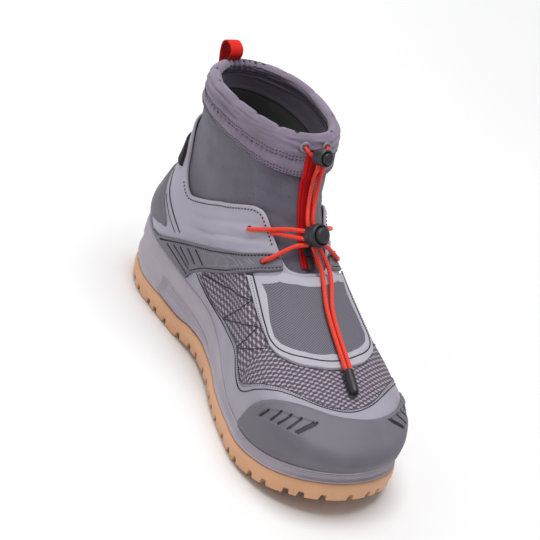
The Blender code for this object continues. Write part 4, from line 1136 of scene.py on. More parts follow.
# Two long folds across the quarter: narrow valleys with soft rolls between them
valleys = sum(deep * bump(upShare - spot, wide) for spot, wide, deep in upperPlan["valleys"])
rolls = sum(high * bump(upShare - spot, wide) for spot, wide, high in upperPlan["rolls"])
outerOut = upperOut(outerLevel) - upperPlan["knitDip"] * ease(knitEdge / 1.2 + 0.2)
outerOut = outerOut + upperPlan["fold"] * (rolls - 0.9 * valleys - 0.2) * onQuarter
half = np.linspace(0, np.pi, 8)[1:-1, None]
rimOut = np.broadcast_to(np.cos(half) - 0.2, (len(half), len(around)))
rimRows = rimLevel + upperPlan["rim"] * np.sin(half)
innerLevel = rimLevel * np.linspace(1, 0, upperPlan["innerRows"])[:, None]
allLevel = np.concatenate([outerLevel, rimRows, innerLevel])
allOut = np.concatenate([outerOut, rimOut, upperOut(innerLevel) - upperPlan["wall"]])
allPhi = np.broadcast_to(around, allLevel.shape)


def upperField(outside, rim, inside):
    # Field over the upper from its values on the outside, on the rim and on the inside
    parts = zip((outside, rim, inside), (outerLevel, rimRows, innerLevel))
    return np.concatenate([np.broadcast_to(value, rows.shape) for value, rows in parts])


front, back = upperPlan["rimAngles"]
rimLine = drawnLine(collarLevel, front, back, 70)
rimDrop = np.minimum(awayFrom(outerPhi, outerLevel, rimLine),
                     awayFrom(outerPhi, outerLevel, mirrored(rimLine)))
nearRim = (np.abs(around) > front) & (np.abs(around) < back)
shellMap = clothMap(allPhi, allLevel)
upperFields = {
    "knitEdge": upperField(knitEdge, -20.0, -20.0),
    "quarterSide": upperField((outerLevel - braceTop) * 14.0, 9.0, 9.0),
    "rimDrop": upperField(np.where(nearRim, rimDrop, 40.0), np.where(nearRim, 0.0, 40.0), 40.0),
    "inside": upperField(0.0, 0.0, 1.0), "upSide": shellMap[..., 2]}
addLoop("upperShell", skinPoint(allPhi, allLevel, allOut), shellMap[..., :2], shellLook,
        ("upper",), upperFields)
print("stage: upper shaped")

# Shaft: jersey-faced sock with a few soft creases
shaftPlan = {
    "columns": 280, "outerRows": 52, "innerRows": 16, "out": -2.0, "in": -4.2, "tuckedIn": 1.3, "top": 8.20,
    "creases": (   # line on the sock, half width in mm, depth in mm
        (((-70, 7.15), (-50, 7.45), (-30, 7.55), (-16, 7.45)), 4.0, 0.9),
        (((-100, 6.9), (-78, 7.35), (-58, 7.75)), 5.0, 0.8),
        (((-40, 7.0), (-26, 7.1), (-14, 6.95)), 3.0, 0.7),
        (((-150, 7.4), (-125, 7.2), (-104, 7.5)), 5.0, 0.8),
        (((20, 7.4), (45, 7.55), (75, 7.3)), 4.5, 0.9),
        (((80, 7.7), (110, 7.4), (150, 7.6)), 5.0, 0.8),
        (((16, 6.9), (30, 7.05), (44, 7.1)), 3.0, 0.6))}
around = roundShoe(shaftPlan["columns"])
low = collarLevel(around) - shaftPlan["tuckedIn"]
share = np.concatenate([np.linspace(0, 1, shaftPlan["outerRows"]), np.linspace(1, 0, shaftPlan["innerRows"])])
level = low + (shaftPlan["top"] - low) * share[:, None]
phi = np.broadcast_to(around, level.shape)
isInner = np.broadcast_to((np.arange(len(share)) >= shaftPlan["outerRows"])[:, None], level.shape)
out = np.where(isInner, shaftPlan["in"], shaftPlan["out"])
for line, wide, deep in shaftPlan["creases"]:
    out -= deep * bump(awayFrom(phi, level, line), wide) * np.where(isInner, 0.6, 1.0)
rings = skinPoint(phi, level, out)
addLoop("sockShaft", rings, surfaceMap(rings), neopreneLook, ("shaft",),
        {"inside": isInner.astype(float)})

# Cuff: rolled profile with ripples round it and gathers at its back rim
cuffPlan = {
    "columns": 620, "steps": 6, "ripple": 0.6, "fold": -3.2,   # level and distance out, round the roll
    "profile": ((8.22, 0.2), (8.30, 1.0), (8.42, 1.4), (8.52, 1.25), (8.62, 0.8), (8.74, 1.5), (9.00, 1.7),
                (9.26, 1.2), (9.42, -0.2), (9.51, -1.8), (9.53, -3.2), (9.51, -4.6), (9.44, -6.0),
                (9.33, -6.9), (9.22, -6.6), (9.13, -5.7), (8.98, -5.3), (8.75, -5.0), (8.45, -4.5),
                (8.22, -4.2)),
    "tucks": (   # folds of the drawn-in rim: angle, depth and half width
        (151, 1.4, 2.4), (159, 2.0, 2.0), (166, 1.5, 1.7), (172.5, 2.2, 1.9), (180, 1.6, 1.6),
        (187, 2.1, 2.0), (194, 1.3, 2.2), (-38, 0.8, 3.0), (-20, 1.0, 2.2), (24, 1.0, 2.4),
        (60, 0.6, 5.0), (-62, 0.7, 2.6), (-84, 0.5, 3.2), (-112, 0.7, 2.8), (-136, 0.9, 2.4),
        (96, 0.6, 3.0), (130, 0.9, 2.6))}


def closedCurve(points, steps):
    # Smooth closed curve through points: cubic pieces with central slopes
    p = np.asarray(points, float)
    slope = (np.roll(p, -1, 0) - np.roll(p, 1, 0)) / 2
    u = np.linspace(0, 1, steps, endpoint=False)[None, :, None]
    after = np.roll(p, -1, 0)
    slopeAfter = np.roll(slope, -1, 0)
    curve = cubic(u, 1.0, p[:, None], after[:, None], slope[:, None], slopeAfter[:, None])
    return curve.reshape(-1, p.shape[1])


profile = closedCurve(cuffPlan["profile"], cuffPlan["steps"])
around = roundShoe(cuffPlan["columns"])
angle = np.radians(around)
level = np.broadcast_to(profile[:, :1], (len(profile), len(around)))
isOuter = (profile[:, 1:] > cuffPlan["fold"]).astype(float)
# Creases along the cuff: three sets of sine waves up it, swinging and fading round it
upWaves = level * 2 * np.pi
slow = np.sin(2 * angle + 0.6) * 1.4 + np.sin(5 * angle + 2.0) * 0.9 + np.sin(9 * angle) * 0.5
ripple = np.sin((level - 8.78) * 2 * np.pi / 0.26 + slow) * (0.55 + 0.45 * np.sin(3 * angle + 1.0))
crossed = np.sin(upWaves / 0.19 + 7 * angle + 1.5 * np.sin(4 * angle)) * (0.5 + 0.5 * np.sin(5 * angle + 2.2))
ripple = ripple + 0.6 * crossed + 0.35 * np.sin(upWaves / 0.15 - 11 * angle) * np.sin(6 * angle + 0.4)
onBand = ease((level - 8.74) / 0.12) * ease((9.45 - level) / 0.2)
move = cuffPlan["ripple"] * ripple * onBand * np.where(isOuter > 0, 1.0, -0.8)
tuck = sum(deep * bump(wrapped(around - spot), wide) for spot, deep, wide in cuffPlan["tucks"])
move = move + tuck * ease((level - 8.95) / 0.4) * np.where(isOuter > 0, -0.55, 1.0)
pucker = np.sin(angle * 75 + slow) * 0.3 * bump(level - 8.60, 0.10) * isOuter
rings = skinPoint(np.broadcast_to(around, level.shape), level - 0.035 * tuck * ease((level - 9.3) / 0.2),
                  profile[:, 1:] + move + pucker)
inside = np.where(isOuter > 0, 0.0, np.clip((9.40 - level) / 0.35, 0, 1))
addLoop("stretchCuff", rings, surfaceMap(rings), cuffLook, ("cuff",), {"inside": inside})
print("stage: shaft and cuff shaped")


# Overlays: slabs on the upper between two level curves, with rounded edges
overlayGap = 0.05    # between the upper and an overlay, in mm
overlayEdge = 0.12   # what is left of its thickness at the edge
noLine = 9.0         # distance given where no drawn line is near


def overlayGrid(edges, angles, rows, sign=1):
    # Grid of angles and levels between a table's low and high edge
    low = tableCurve(edges, angles, 1)
    level = low + (tableCurve(edges, angles, 2) - low) * mixedShares(rows)[:, None]
    return np.broadcast_to(angles * sign, level.shape), level


def addOverlay(name, phi, level, plan, look, slot, stands, relief=0.0, **fields):
    # Grid a thickness off the upper, dropping in a quarter circle at its edges, and one just off the upper
    base = upperOut(level)
    far = edgeFar(skinPoint(phi, level, base))[0]
    drop = np.minimum(roundEdge(far, plan["soft"]), 1.0) * (plan["thick"] - overlayEdge) / plan["soft"]
    outer = skinPoint(phi, level, base + plan["thick"] - drop + relief)
    return addSlab(name, outer, skinPoint(phi, level, base + overlayGap), look, stands, fields)


capPlan = {
    "columns": 240, "rows": 80, "thick": 2.1, "soft": 2.6,
    "padDepth": 0.8, "ventDepth": 0.5, "ventHalf": 0.75,
    "edges": np.array([   # angle, low and high level
        (-59.5, 0.06, 0.14), (-58.5, 0.06, 0.34), (-57, 0.06, 0.66), (-55, 0.06, 0.96), (-52.5, 0.06, 1.28),
        (-49.5, 0.06, 1.59), (-46, 0.06, 1.87), (-41.5, 0.06, 2.12), (-37, 0.06, 2.29), (-31.5, 0.06, 2.43),
        (-24.5, 0.06, 2.53), (-18, 0.06, 2.565), (-11.5, 0.06, 2.57), (-4.5, 0.06, 2.555), (2.5, 0.06, 2.52),
        (10, 0.06, 2.45), (17.5, 0.06, 2.37), (24, 0.06, 2.28), (30.5, 0.06, 2.17), (38, 0.06, 1.98),
        (46, 0.06, 1.68), (53, 0.06, 1.33), (60, 0.06, 0.92), (66, 0.06, 0.52), (70, 0.06, 0.25),
        (72, 0.06, 0.13)]),
    "vents": [((-47.1, 1.34), (-49.8, 0.92)), ((-41.3, 1.71), (-44.5, 1.14)),
              ((-36, 1.90), (-38.6, 1.56), (-40.6, 1.27)), ((-30.8, 2.03), (-33.6, 1.70), (-35.8, 1.38)),
              ((-22.6, 2.17), (-27.2, 1.84), (-31, 1.48)), ((-24.6, 2.12), (-28.4, 1.83), (-32, 1.47))],
    "pad": [(-47.1, 1.40), (-48.8, 1.25), (-50.6, 0.86), (-44.6, 1.07), (-40.4, 1.22), (-35.6, 1.34),
            (-30.6, 1.43), (-28.5, 1.60), (-21.2, 2.22), (-29, 2.09), (-40.8, 1.75)]}
angles = np.linspace(capPlan["edges"][0, 0], capPlan["edges"][-1, 0], capPlan["columns"])
phi, level = overlayGrid(capPlan["edges"], angles, capPlan["rows"])
slotFar = farFromAny(phi, level, capPlan["vents"] + [mirrored(vent) for vent in capPlan["vents"]])
padIn = np.maximum(*(awayFrom(phi, level, pad, True) for pad in (capPlan["pad"], mirrored(capPlan["pad"]))))
relief = -capPlan["padDepth"] * ease(padIn / 0.9 + 0.3)
relief = relief - capPlan["ventDepth"] * bump(slotFar, capPlan["ventHalf"], 4)
addOverlay("toeCap", phi, level, capPlan, capLook, "dark_overlay", ("toe_cap",), relief, slotFar=slotFar,
           markFar=np.full(phi.shape, noLine))

bracePlan = {
    "columns": 260, "rows": 36, "thick": 1.75, "soft": 0.9, "bead": 0.55, "slotDepth": 0.7, "slotHalf": 0.75,
    "slots": [((-127.6, 0.59), (-114.5, 0.36)), ((-123.9, 0.88), (-113.8, 0.68)),
              ((-120.4, 1.13), (-114.1, 0.89)), ((-116.7, 1.49), (-111.3, 1.25)),
              ((-112.9, 1.90), (-107.5, 1.69))],
    "marks": [((-110.3, 2.13), (-106.4, 2.50), (-101, 3.01), (-97.6, 2.82), (-104.6, 2.05)),
              ((-97.9, 3.35), (-92.2, 3.78), (-85.9, 4.18), (-78, 4.30), (-86.2, 3.79), (-93.6, 3.20)),
              ((-78.1, 4.59), (-72.6, 4.77), (-66.3, 4.82), (-73.8, 4.49)), ((-66.4, 4.99), (-62.7, 4.96)),
              ((-59.7, 5.24), (-55.3, 5.26)), ((-57.1, 5.35), (-52.6, 5.36))]}
darkThreadsAndShadeLine = []
for sign, name in bothSides:
    angles = np.linspace(27.2, 142, bracePlan["columns"])
    phi, level = overlayGrid(braceEdges, angles, bracePlan["rows"], sign)
    drawn = {}
    for kind in ("slots", "marks"):
        lines = bracePlan[kind] if sign < 0 else [mirrored(line) for line in bracePlan[kind]]
        drawn[kind] = farFromAny(phi, level, lines)
    far, low, high = edgeFar(skinPoint(phi, level, upperOut(level)))
    fade = ease((low[-1:] - 5) / 4) * ease((140 - np.abs(phi)) / 10)
    lower = low + 40 * ease((np.abs(phi) - 114) / 3)
    # Raised bead along both long edges with a groove inside it
    bead = sum(bump(edge - 1.1, 0.6) - 0.8 * bump(edge - 2.4, 0.45) for edge in (high, lower))
    relief = bracePlan["bead"] * fade * bead
    relief = relief - bracePlan["slotDepth"] * bump(drawn["slots"], bracePlan["slotHalf"], 4)
    addOverlay("brace" + name.title(), phi, level, bracePlan, braceLook, "dark_overlay",
               ("brace_" + name,), relief, slotFar=drawn["slots"], markFar=drawn["marks"])
    for column, last, count, up, radius in ((2, 133, 44, -2.2, 0.62), (1, 112, 40, 2.2, 0.58)):
        edge = drawnLine(lambda angles: tableCurve(braceEdges, angles, column), 30, last, count, sign)
        darkThreadsAndShadeLine.append(threadRow(shiftedLine(edge, up), 2.4, 1.6, radius, 2.3))

# Pieces round the back of the heel, the same on both sides
patchPlan = {"columns": 150, "rows": 60, "thick": 1.7, "soft": 1.0, "edges": np.array([
    (131.5, 1.10, 1.24), (134, 1.02, 1.56), (136.5, 0.90, 1.76), (139, 0.82, 1.98), (142, 0.73, 2.20),
    (147, 0.55, 2.62), (155, 0.38, 3.10), (165, 0.28, 3.38), (180, 0.24, 3.48)])}
bandPlan = {"columns": 150, "rows": 40, "thick": 2.1, "soft": 1.0, "edges": np.array([
    (137.5, 4.78, 5.62), (141, 4.62, 5.92), (150, 4.56, 6.06), (180, 4.52, 6.12)])}


def heelGrid(plan):
    # Grid round the back of the heel from a table of one side
    start = plan["edges"][0, 0]
    angles = np.linspace(start, 360 - start, plan["columns"])
    level = overlayGrid(plan["edges"], np.minimum(angles, 360 - angles), plan["rows"])[1]
    return np.broadcast_to(angles, level.shape), level


phi, level = heelGrid(patchPlan)
far = edgeFar(skinPoint(phi, level, upperOut(level)))[0]
relief = -0.3 * bump(far - 2.2, 0.5) - 0.3 * bump(far - 4.2, 0.5)
plain = np.full(phi.shape, noLine)
addOverlay("heelPatch", phi, level, patchPlan, braceLook, "dark_overlay", ("heel_patch",), relief,
           slotFar=plain, markFar=plain)
phi, level = heelGrid(bandPlan)
addOverlay("rearBand", phi, level, bandPlan, blackTapeLook, "black_webbing", ("rear_band",))

flapPlan = {
    "columns": 190, "rows": 100, "thick": 2.0, "soft": 0.9, "dip": 0.35, "lowHalf": 47.5, "topHalf": 60.0,
    "low": np.array([(0, 3.72), (12, 3.70), (27, 3.56), (36, 3.46), (43, 3.38), (47.5, 3.42)]),
    "top": np.array([(0, 5.80), (26, 5.72), (34, 5.52), (45, 5.26), (60, 4.82)]),
    "window": [(-47, 5.0), (-32, 5.40), (-17, 5.54), (0, 5.56), (17, 5.54), (32, 5.40), (47, 5.0), (44, 4.8),
               (43.5, 4.15), (42, 3.82), (38, 3.77), (21, 3.95), (0, 4.05), (-21, 3.95), (-38, 3.77),
               (-42, 3.82), (-43.5, 4.15), (-44, 4.8)],
    "piping": [(-54, 5.06), (-50.5, 4.52), (-47.3, 3.92), (-45.6, 3.62), (-41, 3.56), (-33, 3.66),
               (-22.5, 3.80), (-6, 3.88), (6, 3.88), (22.5, 3.80), (33, 3.66), (41, 3.56),
               (45.6, 3.62), (47.3, 3.92), (50.5, 4.52), (54, 5.06)]}
across = np.linspace(-1, 1, flapPlan["columns"])
shares = mixedShares(flapPlan["rows"])[:, None]
low = tableCurve(flapPlan["low"], np.abs(across) * flapPlan["lowHalf"])
high = tableCurve(flapPlan["top"], np.abs(across) * flapPlan["topHalf"])
level = low + (high - low) * shares
phi = across * (flapPlan["lowHalf"] + (flapPlan["topHalf"] - flapPlan["lowHalf"]) * shares)
windowEdge = awayFrom(phi, level, flapPlan["window"], True)
addOverlay("vampFlap", phi, level, flapPlan, flapLook, "flap_fabric", ("vamp_flap",),
           -flapPlan["dip"] * ease(windowEdge / 1.0 + 0.3), windowEdge=windowEdge)
print("stage: overlays laid on the upper")

# Threads and piping on the upper, the flap and the cuff, a dark cord of painted shade along the knit's lower
# edge, and dark discs of painted shade round the laces at the eyelets
bandLine = [
    (-110, 0.89), (-107.6, 0.74), (-104.9, 0.67), (-102.5, 0.61), (-100, 0.61), (-96, 0.69), (-91.9, 0.80),
    (-88.3, 0.87), (-85.1, 0.92), (-82, 0.98), (-79.2, 1.02), (-77.2, 1.01), (-75.6, 0.96), (-73.9, 0.85),
    (-72.3, 0.73), (-70.6, 0.66), (-68.7, 0.62), (-66.9, 0.61), (-64.7, 0.67), (-62.8, 0.80), (-60.8, 0.98),
    (-57, 1.41), (-52.2, 1.85), (-45.3, 2.27), (-38, 2.51), (-32.5, 2.62), (-27.2, 2.69), (-22, 2.72),
    (-16.9, 2.735), (-11.8, 2.74), (-6.6, 2.735), (0, 2.73)]
zigzag = [
    (-106.9, 1.19), (-102.4, 1.55), (-97.6, 1.94), (-91.6, 2.42), (-80.1, 3.25), (-65, 4.02), (-57.2, 4.25),
    (-62.3, 3.94), (-70.8, 3.38), (-82.1, 2.40), (-86.3, 1.78), (-88.3, 1.34), (-90.4, 0.98), (-87, 1.28),
    (-83.5, 1.68), (-78.3, 2.22), (-68.5, 2.95), (-60.7, 3.38), (-54.5, 3.65), (-59.3, 3.31), (-64.3, 2.91),
    (-69.9, 2.40), (-73.8, 1.86), (-75.8, 1.45), (-77.3, 1.18), (-74.4, 1.43), (-71.1, 1.82), (-66.8, 2.25),
    (-61.7, 2.61), (-57.1, 2.88), (-52.8, 3.12)]
heelThick = [(-123.9, 1.62), (-126.8, 1.81), (-129.9, 2.01), (-133.1, 2.23), (-136.5, 2.44), (-139.9, 2.68),
             (-142.9, 2.96), (-146.4, 3.34), (-149.5, 3.7)]
heelThin = [(-126.1, 1.35), (-129, 1.53), (-132.2, 1.73), (-135.4, 1.96), (-138.5, 2.16), (-141.7, 2.36)]
knitRows = acrossToe(knitLow)
darkThreadsAndShadeLine.append(cordOnLast(acrossToe(bandLine), 0.42, 0.75))
# Painted shade: a thin dark cord along the knit's lower edge
darkThreadsAndShadeLine.append(cordOnLast(knitRows, 0.28, 0.7))
drawnCords = ((straightLine(zigzag, 3), 0.384, 0.55), (heelThick, 0.48, 0.8), (heelThin, 0.3, 0.8))
for line, radius, out in drawnCords:
    for each in (line, mirrored(line)):
        darkThreadsAndShadeLine.append(cordOnLast(each, radius, out))
darkThreadsAndShadeLine.append(cordOnLast(flapPlan["piping"], 0.5, 2.75))
rimRow = drawnLine(collarLevel, 31, 128, 60)
for each in (rimRow, mirrored(rimRow)):
    darkThreadsAndShadeLine.append(threadRow(shiftedLine(each, -2.8), 2.7, 1.45, 0.5, 0.95))
addObject("upperThreadsAndShadeLine", joined(darkThreadsAndShadeLine), threadLook)
greyThreads = [threadRow(shiftedLine(knitRows, up), 1.7, 0.9, 0.22, 0.85) for up in (-0.8, -1.75)]
flapSide = [(-55.8, 4.86), (-52.6, 4.30), (-49.6, 3.75), (-48.0, 3.50)]
for each in (flapSide, mirrored(flapSide)):
    greyThreads.append(threadRow(each, 2.0, 1.1, 0.26, 2.85))
# Rows round the cuff: slightly uneven ones on its outside; two plain dark rows inside stand for the painted
# shade of the band under the rolled rim
cuffOut = profile[:9 * cuffPlan["steps"]]
cuffOut = cuffOut[np.argsort(cuffOut[:, 0])]
cuffThreadsAndShadeRows = []
angles = np.linspace(10, 350, 240)
uneven = 0.012 * np.sin(angles * 0.31) + 0.009 * np.sin(angles * 0.83)
for stitchLevel in (8.265, 8.345, 8.64, 8.74):
    out = float(np.interp(stitchLevel, cuffOut[:, 0], cuffOut[:, 1]))
    cuffThreadsAndShadeRows.append(threadRow(np.stack([angles, stitchLevel + uneven], 1), 2.3, 1.5, 0.44, out + 0.1))
# Painted shade: two plain dark rows on the inside under the rolled rim
for stitchLevel, out in ((9.10, -5.75), (8.98, -5.45)):
    cuffThreadsAndShadeRows.append(threadRow([(a, stitchLevel) for a in np.linspace(-179, 179, 90)], 2.3, 1.6, 0.4, out))
addObject("cuffThreadsAndShadeRows", joined(cuffThreadsAndShadeRows), cuffThreadLook)
addObject("seamThreads", joined(greyThreads), greyThreadLook)
# Dark discs round the laces at the eyelets: painted shade of the holes the laces go into
eyeletShadeProfile = ((0.2, -0.3), (2.2, -0.3), (2.5, 0.0), (2.2, 0.12), (0.2, 0.14))
eyelets = []
for sign, name in bothSides:
    for angle, eyeletLevel, out in ((55.4, 6.23, 0.85), (44.2, 5.65, 2.45)):
        p, n = frameAt(sign * angle, eyeletLevel, out)[:2]
        eyelets.append(lathe(eyeletShadeProfile, p, n, 24))
addObject("eyeletHoleShade", joined(eyelets), threadLook)
print("stage: threads, piping and eyelets sewn")


# Sole: rings of its outline, moved in and set at heights
def soleLine(columns):
    # Outline of the sole, its outward direction and its running length
    around = roundShoe(columns)
    line = np.stack([lastShape["length"] * (1 + np.cos(np.radians(around))) / 2, halfPlan(around)], 1)
    run = unit(np.roll(line, -1, 0) - np.roll(line, 1, 0))
    out = np.stack([run[:, 1], -run[:, 0]], 1)
    out *= np.sign(out[columns // 2, 0])
    return line, out, runLength(line)


outline, outlineOut, outlineRun = soleLine(400)


def soleRing(inset, column, rise):
    # The present outline moved in by a distance, at a column of the height table plus a rise
    p = outline - outlineOut * np.broadcast_to(inset, (len(outline),))[:, None]
    return np.column_stack([p, soleHeight(column, outline[:, 0]) + rise])


def shrunk(ring, share, column=None, rise=0.0):
    # Ring drawn towards the middle of the sole
    p = ring.copy()
    p[:, :2] = np.array((150.0, 0.0)) + (ring[:, :2] - (150.0, 0.0)) * share
    if column is not None:
        p[:, 2] = soleHeight(column, p[:, 0]) + rise
    return p


def ringMap(rings):
    # Coordinates in mm: round the outline, and down the profile
    down = surfaceRun(rings, 0)
    return np.stack(np.broadcast_arrays(outlineRun[None], down), -1)


midsolePlan = {
    "rows": 84, "swell": 2.2, "grooves": (0.66, 0.82), "grooveDepth": 0.5, "grooveHalf": 0.45, "recess": 1.1,
    "rib": 0.6, "ribs": (0.16, 0.32, 0.48, 0.64, 0.80), "low": 13.6,
    "panelTop": ((58, 62, 96, 104, 111, 130, 155), (0.50, 0.50, 0.50, 0.43, 0.37, 0.27, 0.2)),
    "side": np.array([(0.0, -0.2), (0.05, -0.9), (0.12, -1.2), (0.19, -0.8), (0.28, 0.3), (0.40, 0.75),
                      (0.52, 0.8), (0.60, 0.1), (0.74, 0.1), (0.88, 0.3), (0.96, 0.5), (1.0, 1.0)])}
lowRise = midsolePlan["low"]
lowEdge = soleRing(0, 1, lowRise)[:, 2]
rimEdge = soleRing(0, 3, 0)[:, 2]
share = np.linspace(0, 1, midsolePlan["rows"])[:, None]
x = outline[:, 0][None]
tall = (rimEdge - lowEdge)[None]
inset = tableCurve(midsolePlan["side"], share)
inset = inset - midsolePlan["swell"] * ease(1 - x / 50) * ease(share / 0.3)
fore = ease((x - 165) / 20)
for centre in midsolePlan["grooves"]:
    groove = bump((share - centre) * tall, midsolePlan["grooveHalf"])
    inset = inset + midsolePlan["grooveDepth"] * fore * groove
# Sunk lower panel from the heel to the waist, with fine ribs along it and a groove on its upper edge
panelTop = np.interp(x, *midsolePlan["panelTop"])
ends = ease((x - 60) / 3) * ease((155 - x) / 30)
onPanel = ends * ease((panelTop - share) * tall / 1.0 + 0.5)
inset = inset + midsolePlan["recess"] * onPanel + 0.35 * ends * bump((panelTop - share) * tall, 0.7)
ribbed = midsolePlan["rib"] * onPanel * ease((x - 68) / 6)
for rib in midsolePlan["ribs"]:
    inset = inset - ribbed * bump((share - rib * panelTop) * tall, 0.5)
dotPatch = ease((x - 60) / 2) * ease((71 - x) / 4) * ease((0.47 - share) / 0.05) * ease((share - 0.05) / 0.05)
side = np.stack([soleRing(row, 3, 0) for row in inset])
side[..., 2] = lowEdge + (rimEdge - lowEdge) * share
under = soleRing(0.6, 1, lowRise)
floorRing = soleRing(5.6, 2, 0)
bottom = np.stack([shrunk(under, 0.02, 1, lowRise), shrunk(under, 0.5, 1, lowRise), under])
cup = np.stack([soleRing(1.8, 3, 0.12), soleRing(4.4, 3, 0.1), soleRing(5.0, 3, -0.3), floorRing,
                shrunk(floorRing, 0.8, 2), shrunk(floorRing, 0.4, 2), shrunk(floorRing, 0.02, 2)])
rings = np.concatenate([bottom, side, cup])
dotPatch = np.pad(dotPatch, ((len(bottom), len(cup)), (0, 0)))
addObject("cupMidsole", stacked(rings, ringMap(rings)), midsoleLook, ("midsole",),
          fields={"dotPatch": dotPatch})

insolePlan = {
    "inset": 6.1, "under": 0.35,
    "edge": ((0.2, 0.6), (0.0, 1.2), (0.0, 2.8), (0.3, 3.4), (1.0, 3.8), (2.4, 3.9)),   # inset and rise
    "top": ((0.92, 3.7), (0.8, 3.5), (0.6, 3.35), (0.35, 3.3), (0.02, 3.3))}            # share and rise
under = insolePlan["under"]
base = soleRing(insolePlan["inset"] + 0.8, 2, under)
rings = [shrunk(base, 0.02, 2, under), shrunk(base, 0.6, 2, under), base]
rings += [soleRing(insolePlan["inset"] + inset, 2, rise) for inset, rise in insolePlan["edge"]]
edge = rings[-1]
rings += [shrunk(edge, part, 2, rise) for part, rise in insolePlan["top"]]
rings = np.stack(rings)
insole = addObject("insolePad", stacked(rings, rings[..., :2]), insoleLook, ("insole",))

# Outsole: plate whose outer wall runs down in blocks between notches, and three-armed lugs inside it
outsolePlan = {
    "low": 5.0, "top": 13.3, "notch": 3.7, "notchHalf": 2.1, "lugLine": 8.0,
    "blocks": (15.5, 11.0, 18.0, 12.5, 16.5, 10.0, 14.0, 19.0),
    "foot": ((7.2, 0.7), (6.8, 0.15), (6.2, 0.0), (1.2, 0.0), (0.2, 0.05), (-0.5, 0.35), (-0.9, 0.9)),
    "wall": ((-1.35, 5.4), (-1.6, 6.4), (-1.85, 7.6), (-1.95, 8.8), (-1.9, 10.0), (-1.7, 11.4), (-1.2, 12.6),
             (-0.5, 13.2), (0.5, 13.3)),   # inset and rise
    "tip": 10.4, "hollow": 5.2, "sides": 42, "pitch": (20.5, 17.0, 6.6), "start": 6.0, "turn": 0.35,
    "fromEdge": 6.0, "apart": 15.5, "leastArea": 60.0,
    "lug": ((0.96, 6.2), (0.97, 4.6), (0.95, 1.2), (0.93, 0.5), (0.90, 0.12), (0.86, 0.0), (0.50, 0.0),
            (0.46, 0.25), (0.43, 0.7), (0.03, 0.8)),   # share of its outline and rise
    # share of painted shade down each lug's profile: at its root and in its hollow
    "lugRecessShade": (1.0, 0.7, 0, 0, 0, 0, 0, 0.5, 1.0, 1.0)}
outline, outlineOut, outlineRun = soleLine(1200)
stops = np.cumsum(np.tile(outsolePlan["blocks"], 12))
stops = stops[stops < outlineRun[-1] - 8] + 4
fromNotch = np.abs(outlineRun[:, None] - stops[None]).min(1)
bite = outsolePlan["notch"] * ease((outsolePlan["notchHalf"] + 0.6 - fromNotch) / 1.2)
lowRise = outsolePlan["low"]
topRise = outsolePlan["top"]
low = soleRing(0, 1, lowRise)
rows = [shrunk(low, 0.02, 1, lowRise), shrunk(low, 0.5, 1, lowRise), soleRing(8.8, 1, lowRise),
        soleRing(7.6, 1, lowRise)]
inner = len(rows)
rows += [soleRing(inset, 1, bite + rise) for inset, rise in outsolePlan["foot"]]
foot = len(rows)
rows.append(soleRing(-1.15, 1, (bite + 6.3) / 2))
rows += [soleRing(inset, 1, rise) for inset, rise in outsolePlan["wall"]]
rows += [shrunk(rows[-1], 0.5, 1, topRise), shrunk(rows[-1], 0.02, 1, topRise)]
rings = np.stack(rows)
# Share of painted shade: full on the plate between the lugs, partial in the wall's notches
deep = np.zeros(rings.shape[:2])
deep[:inner] = 1.0
deep[inner:foot] = ease(bite / outsolePlan["notch"]) * 0.8
deep[inner] = 0.8
edgePlan = outline - outlineOut * outsolePlan["lugLine"]


def inEdge(p):
    # True for points inside the lugs' outer line
    return insideOutline(p[:, 0], p[:, 1], edgePlan)


def lugRing(centre, turn):
    # Three arms: the radius swings between hollow and tip three times round, cut at the sole's edge
    a = np.arange(outsolePlan["sides"]) * 2 * np.pi / outsolePlan["sides"]
    swing = (0.5 + 0.5 * np.cos(3 * a)) ** 1.25
    r = outsolePlan["hollow"] + (outsolePlan["tip"] - outsolePlan["hollow"]) * swing
    spoke = np.stack([np.cos(a + turn), np.sin(a + turn)], 1)
    keep = r.copy()
    low = np.zeros_like(r)
    outside = ~inEdge(centre + spoke * r[:, None])
    for k in range(14):
        half = np.where(outside, (low + keep) / 2, keep)
        good = inEdge(centre + spoke * half[:, None])
        low = np.where(outside & good, half, low)
        keep = np.where(outside & ~good, half, keep)
    return spoke * np.where(outside, low, r)[:, None]


lugShare, lugRise = np.array(outsolePlan["lug"]).T[..., None]
alongPitch, acrossPitch, shift = outsolePlan["pitch"]
middle = lastShape["length"] / 2
lugs = []
centres = []
for row in range(-4, 5):
    for step in range(-2, 18):
        c = np.array((step * alongPitch + row * shift + outsolePlan["start"], row * acrossPitch))
        inward = np.array((-np.sign(c[0] - middle) * (abs(c[0] - middle) > 138), -np.sign(row)), float)
        if not inEdge(c[None] + inward * 5.5)[0]:
            continue
        for k in range(16):   # moved in until it is clear of the edge
            fromEdge = np.linalg.norm(edgePlan - c, axis=1).min()
            if fromEdge < outsolePlan["fromEdge"] or not inEdge(c[None])[0]:
                c = c + inward * 0.5
        spokes = lugRing(c, outsolePlan["turn"] + (0.0 if (step + row) % 2 else np.pi / 3))
        q = np.roll(spokes, -1, 0)
        area = abs(np.sum(spokes[:, 0] * q[:, 1] - spokes[:, 1] * q[:, 0])) / 2
        clear = all(np.linalg.norm(c - d) > outsolePlan["apart"] for d in centres)
        if area > outsolePlan["leastArea"] and clear:
            centres.append(c)
            flat = c + spokes * lugShare[..., None]
            z = soleHeight(1, np.clip(flat[..., 0], 0, lastShape["length"])) + lugRise
            lugs.append(np.concatenate([flat, z[..., None]], -1))
lugs = np.stack(lugs)
count, steps, sides = lugs.shape[:3]
rows, cols = rings.shape[:2]
base = (np.arange(count) * steps * sides)[:, None, None] + rows * cols
lugQuads = (gridQuads(steps, sides, True)[None] + base).reshape(-1, 4)
lugCaps = (endCaps(steps, sides)[None] + base).reshape(-1, sides)
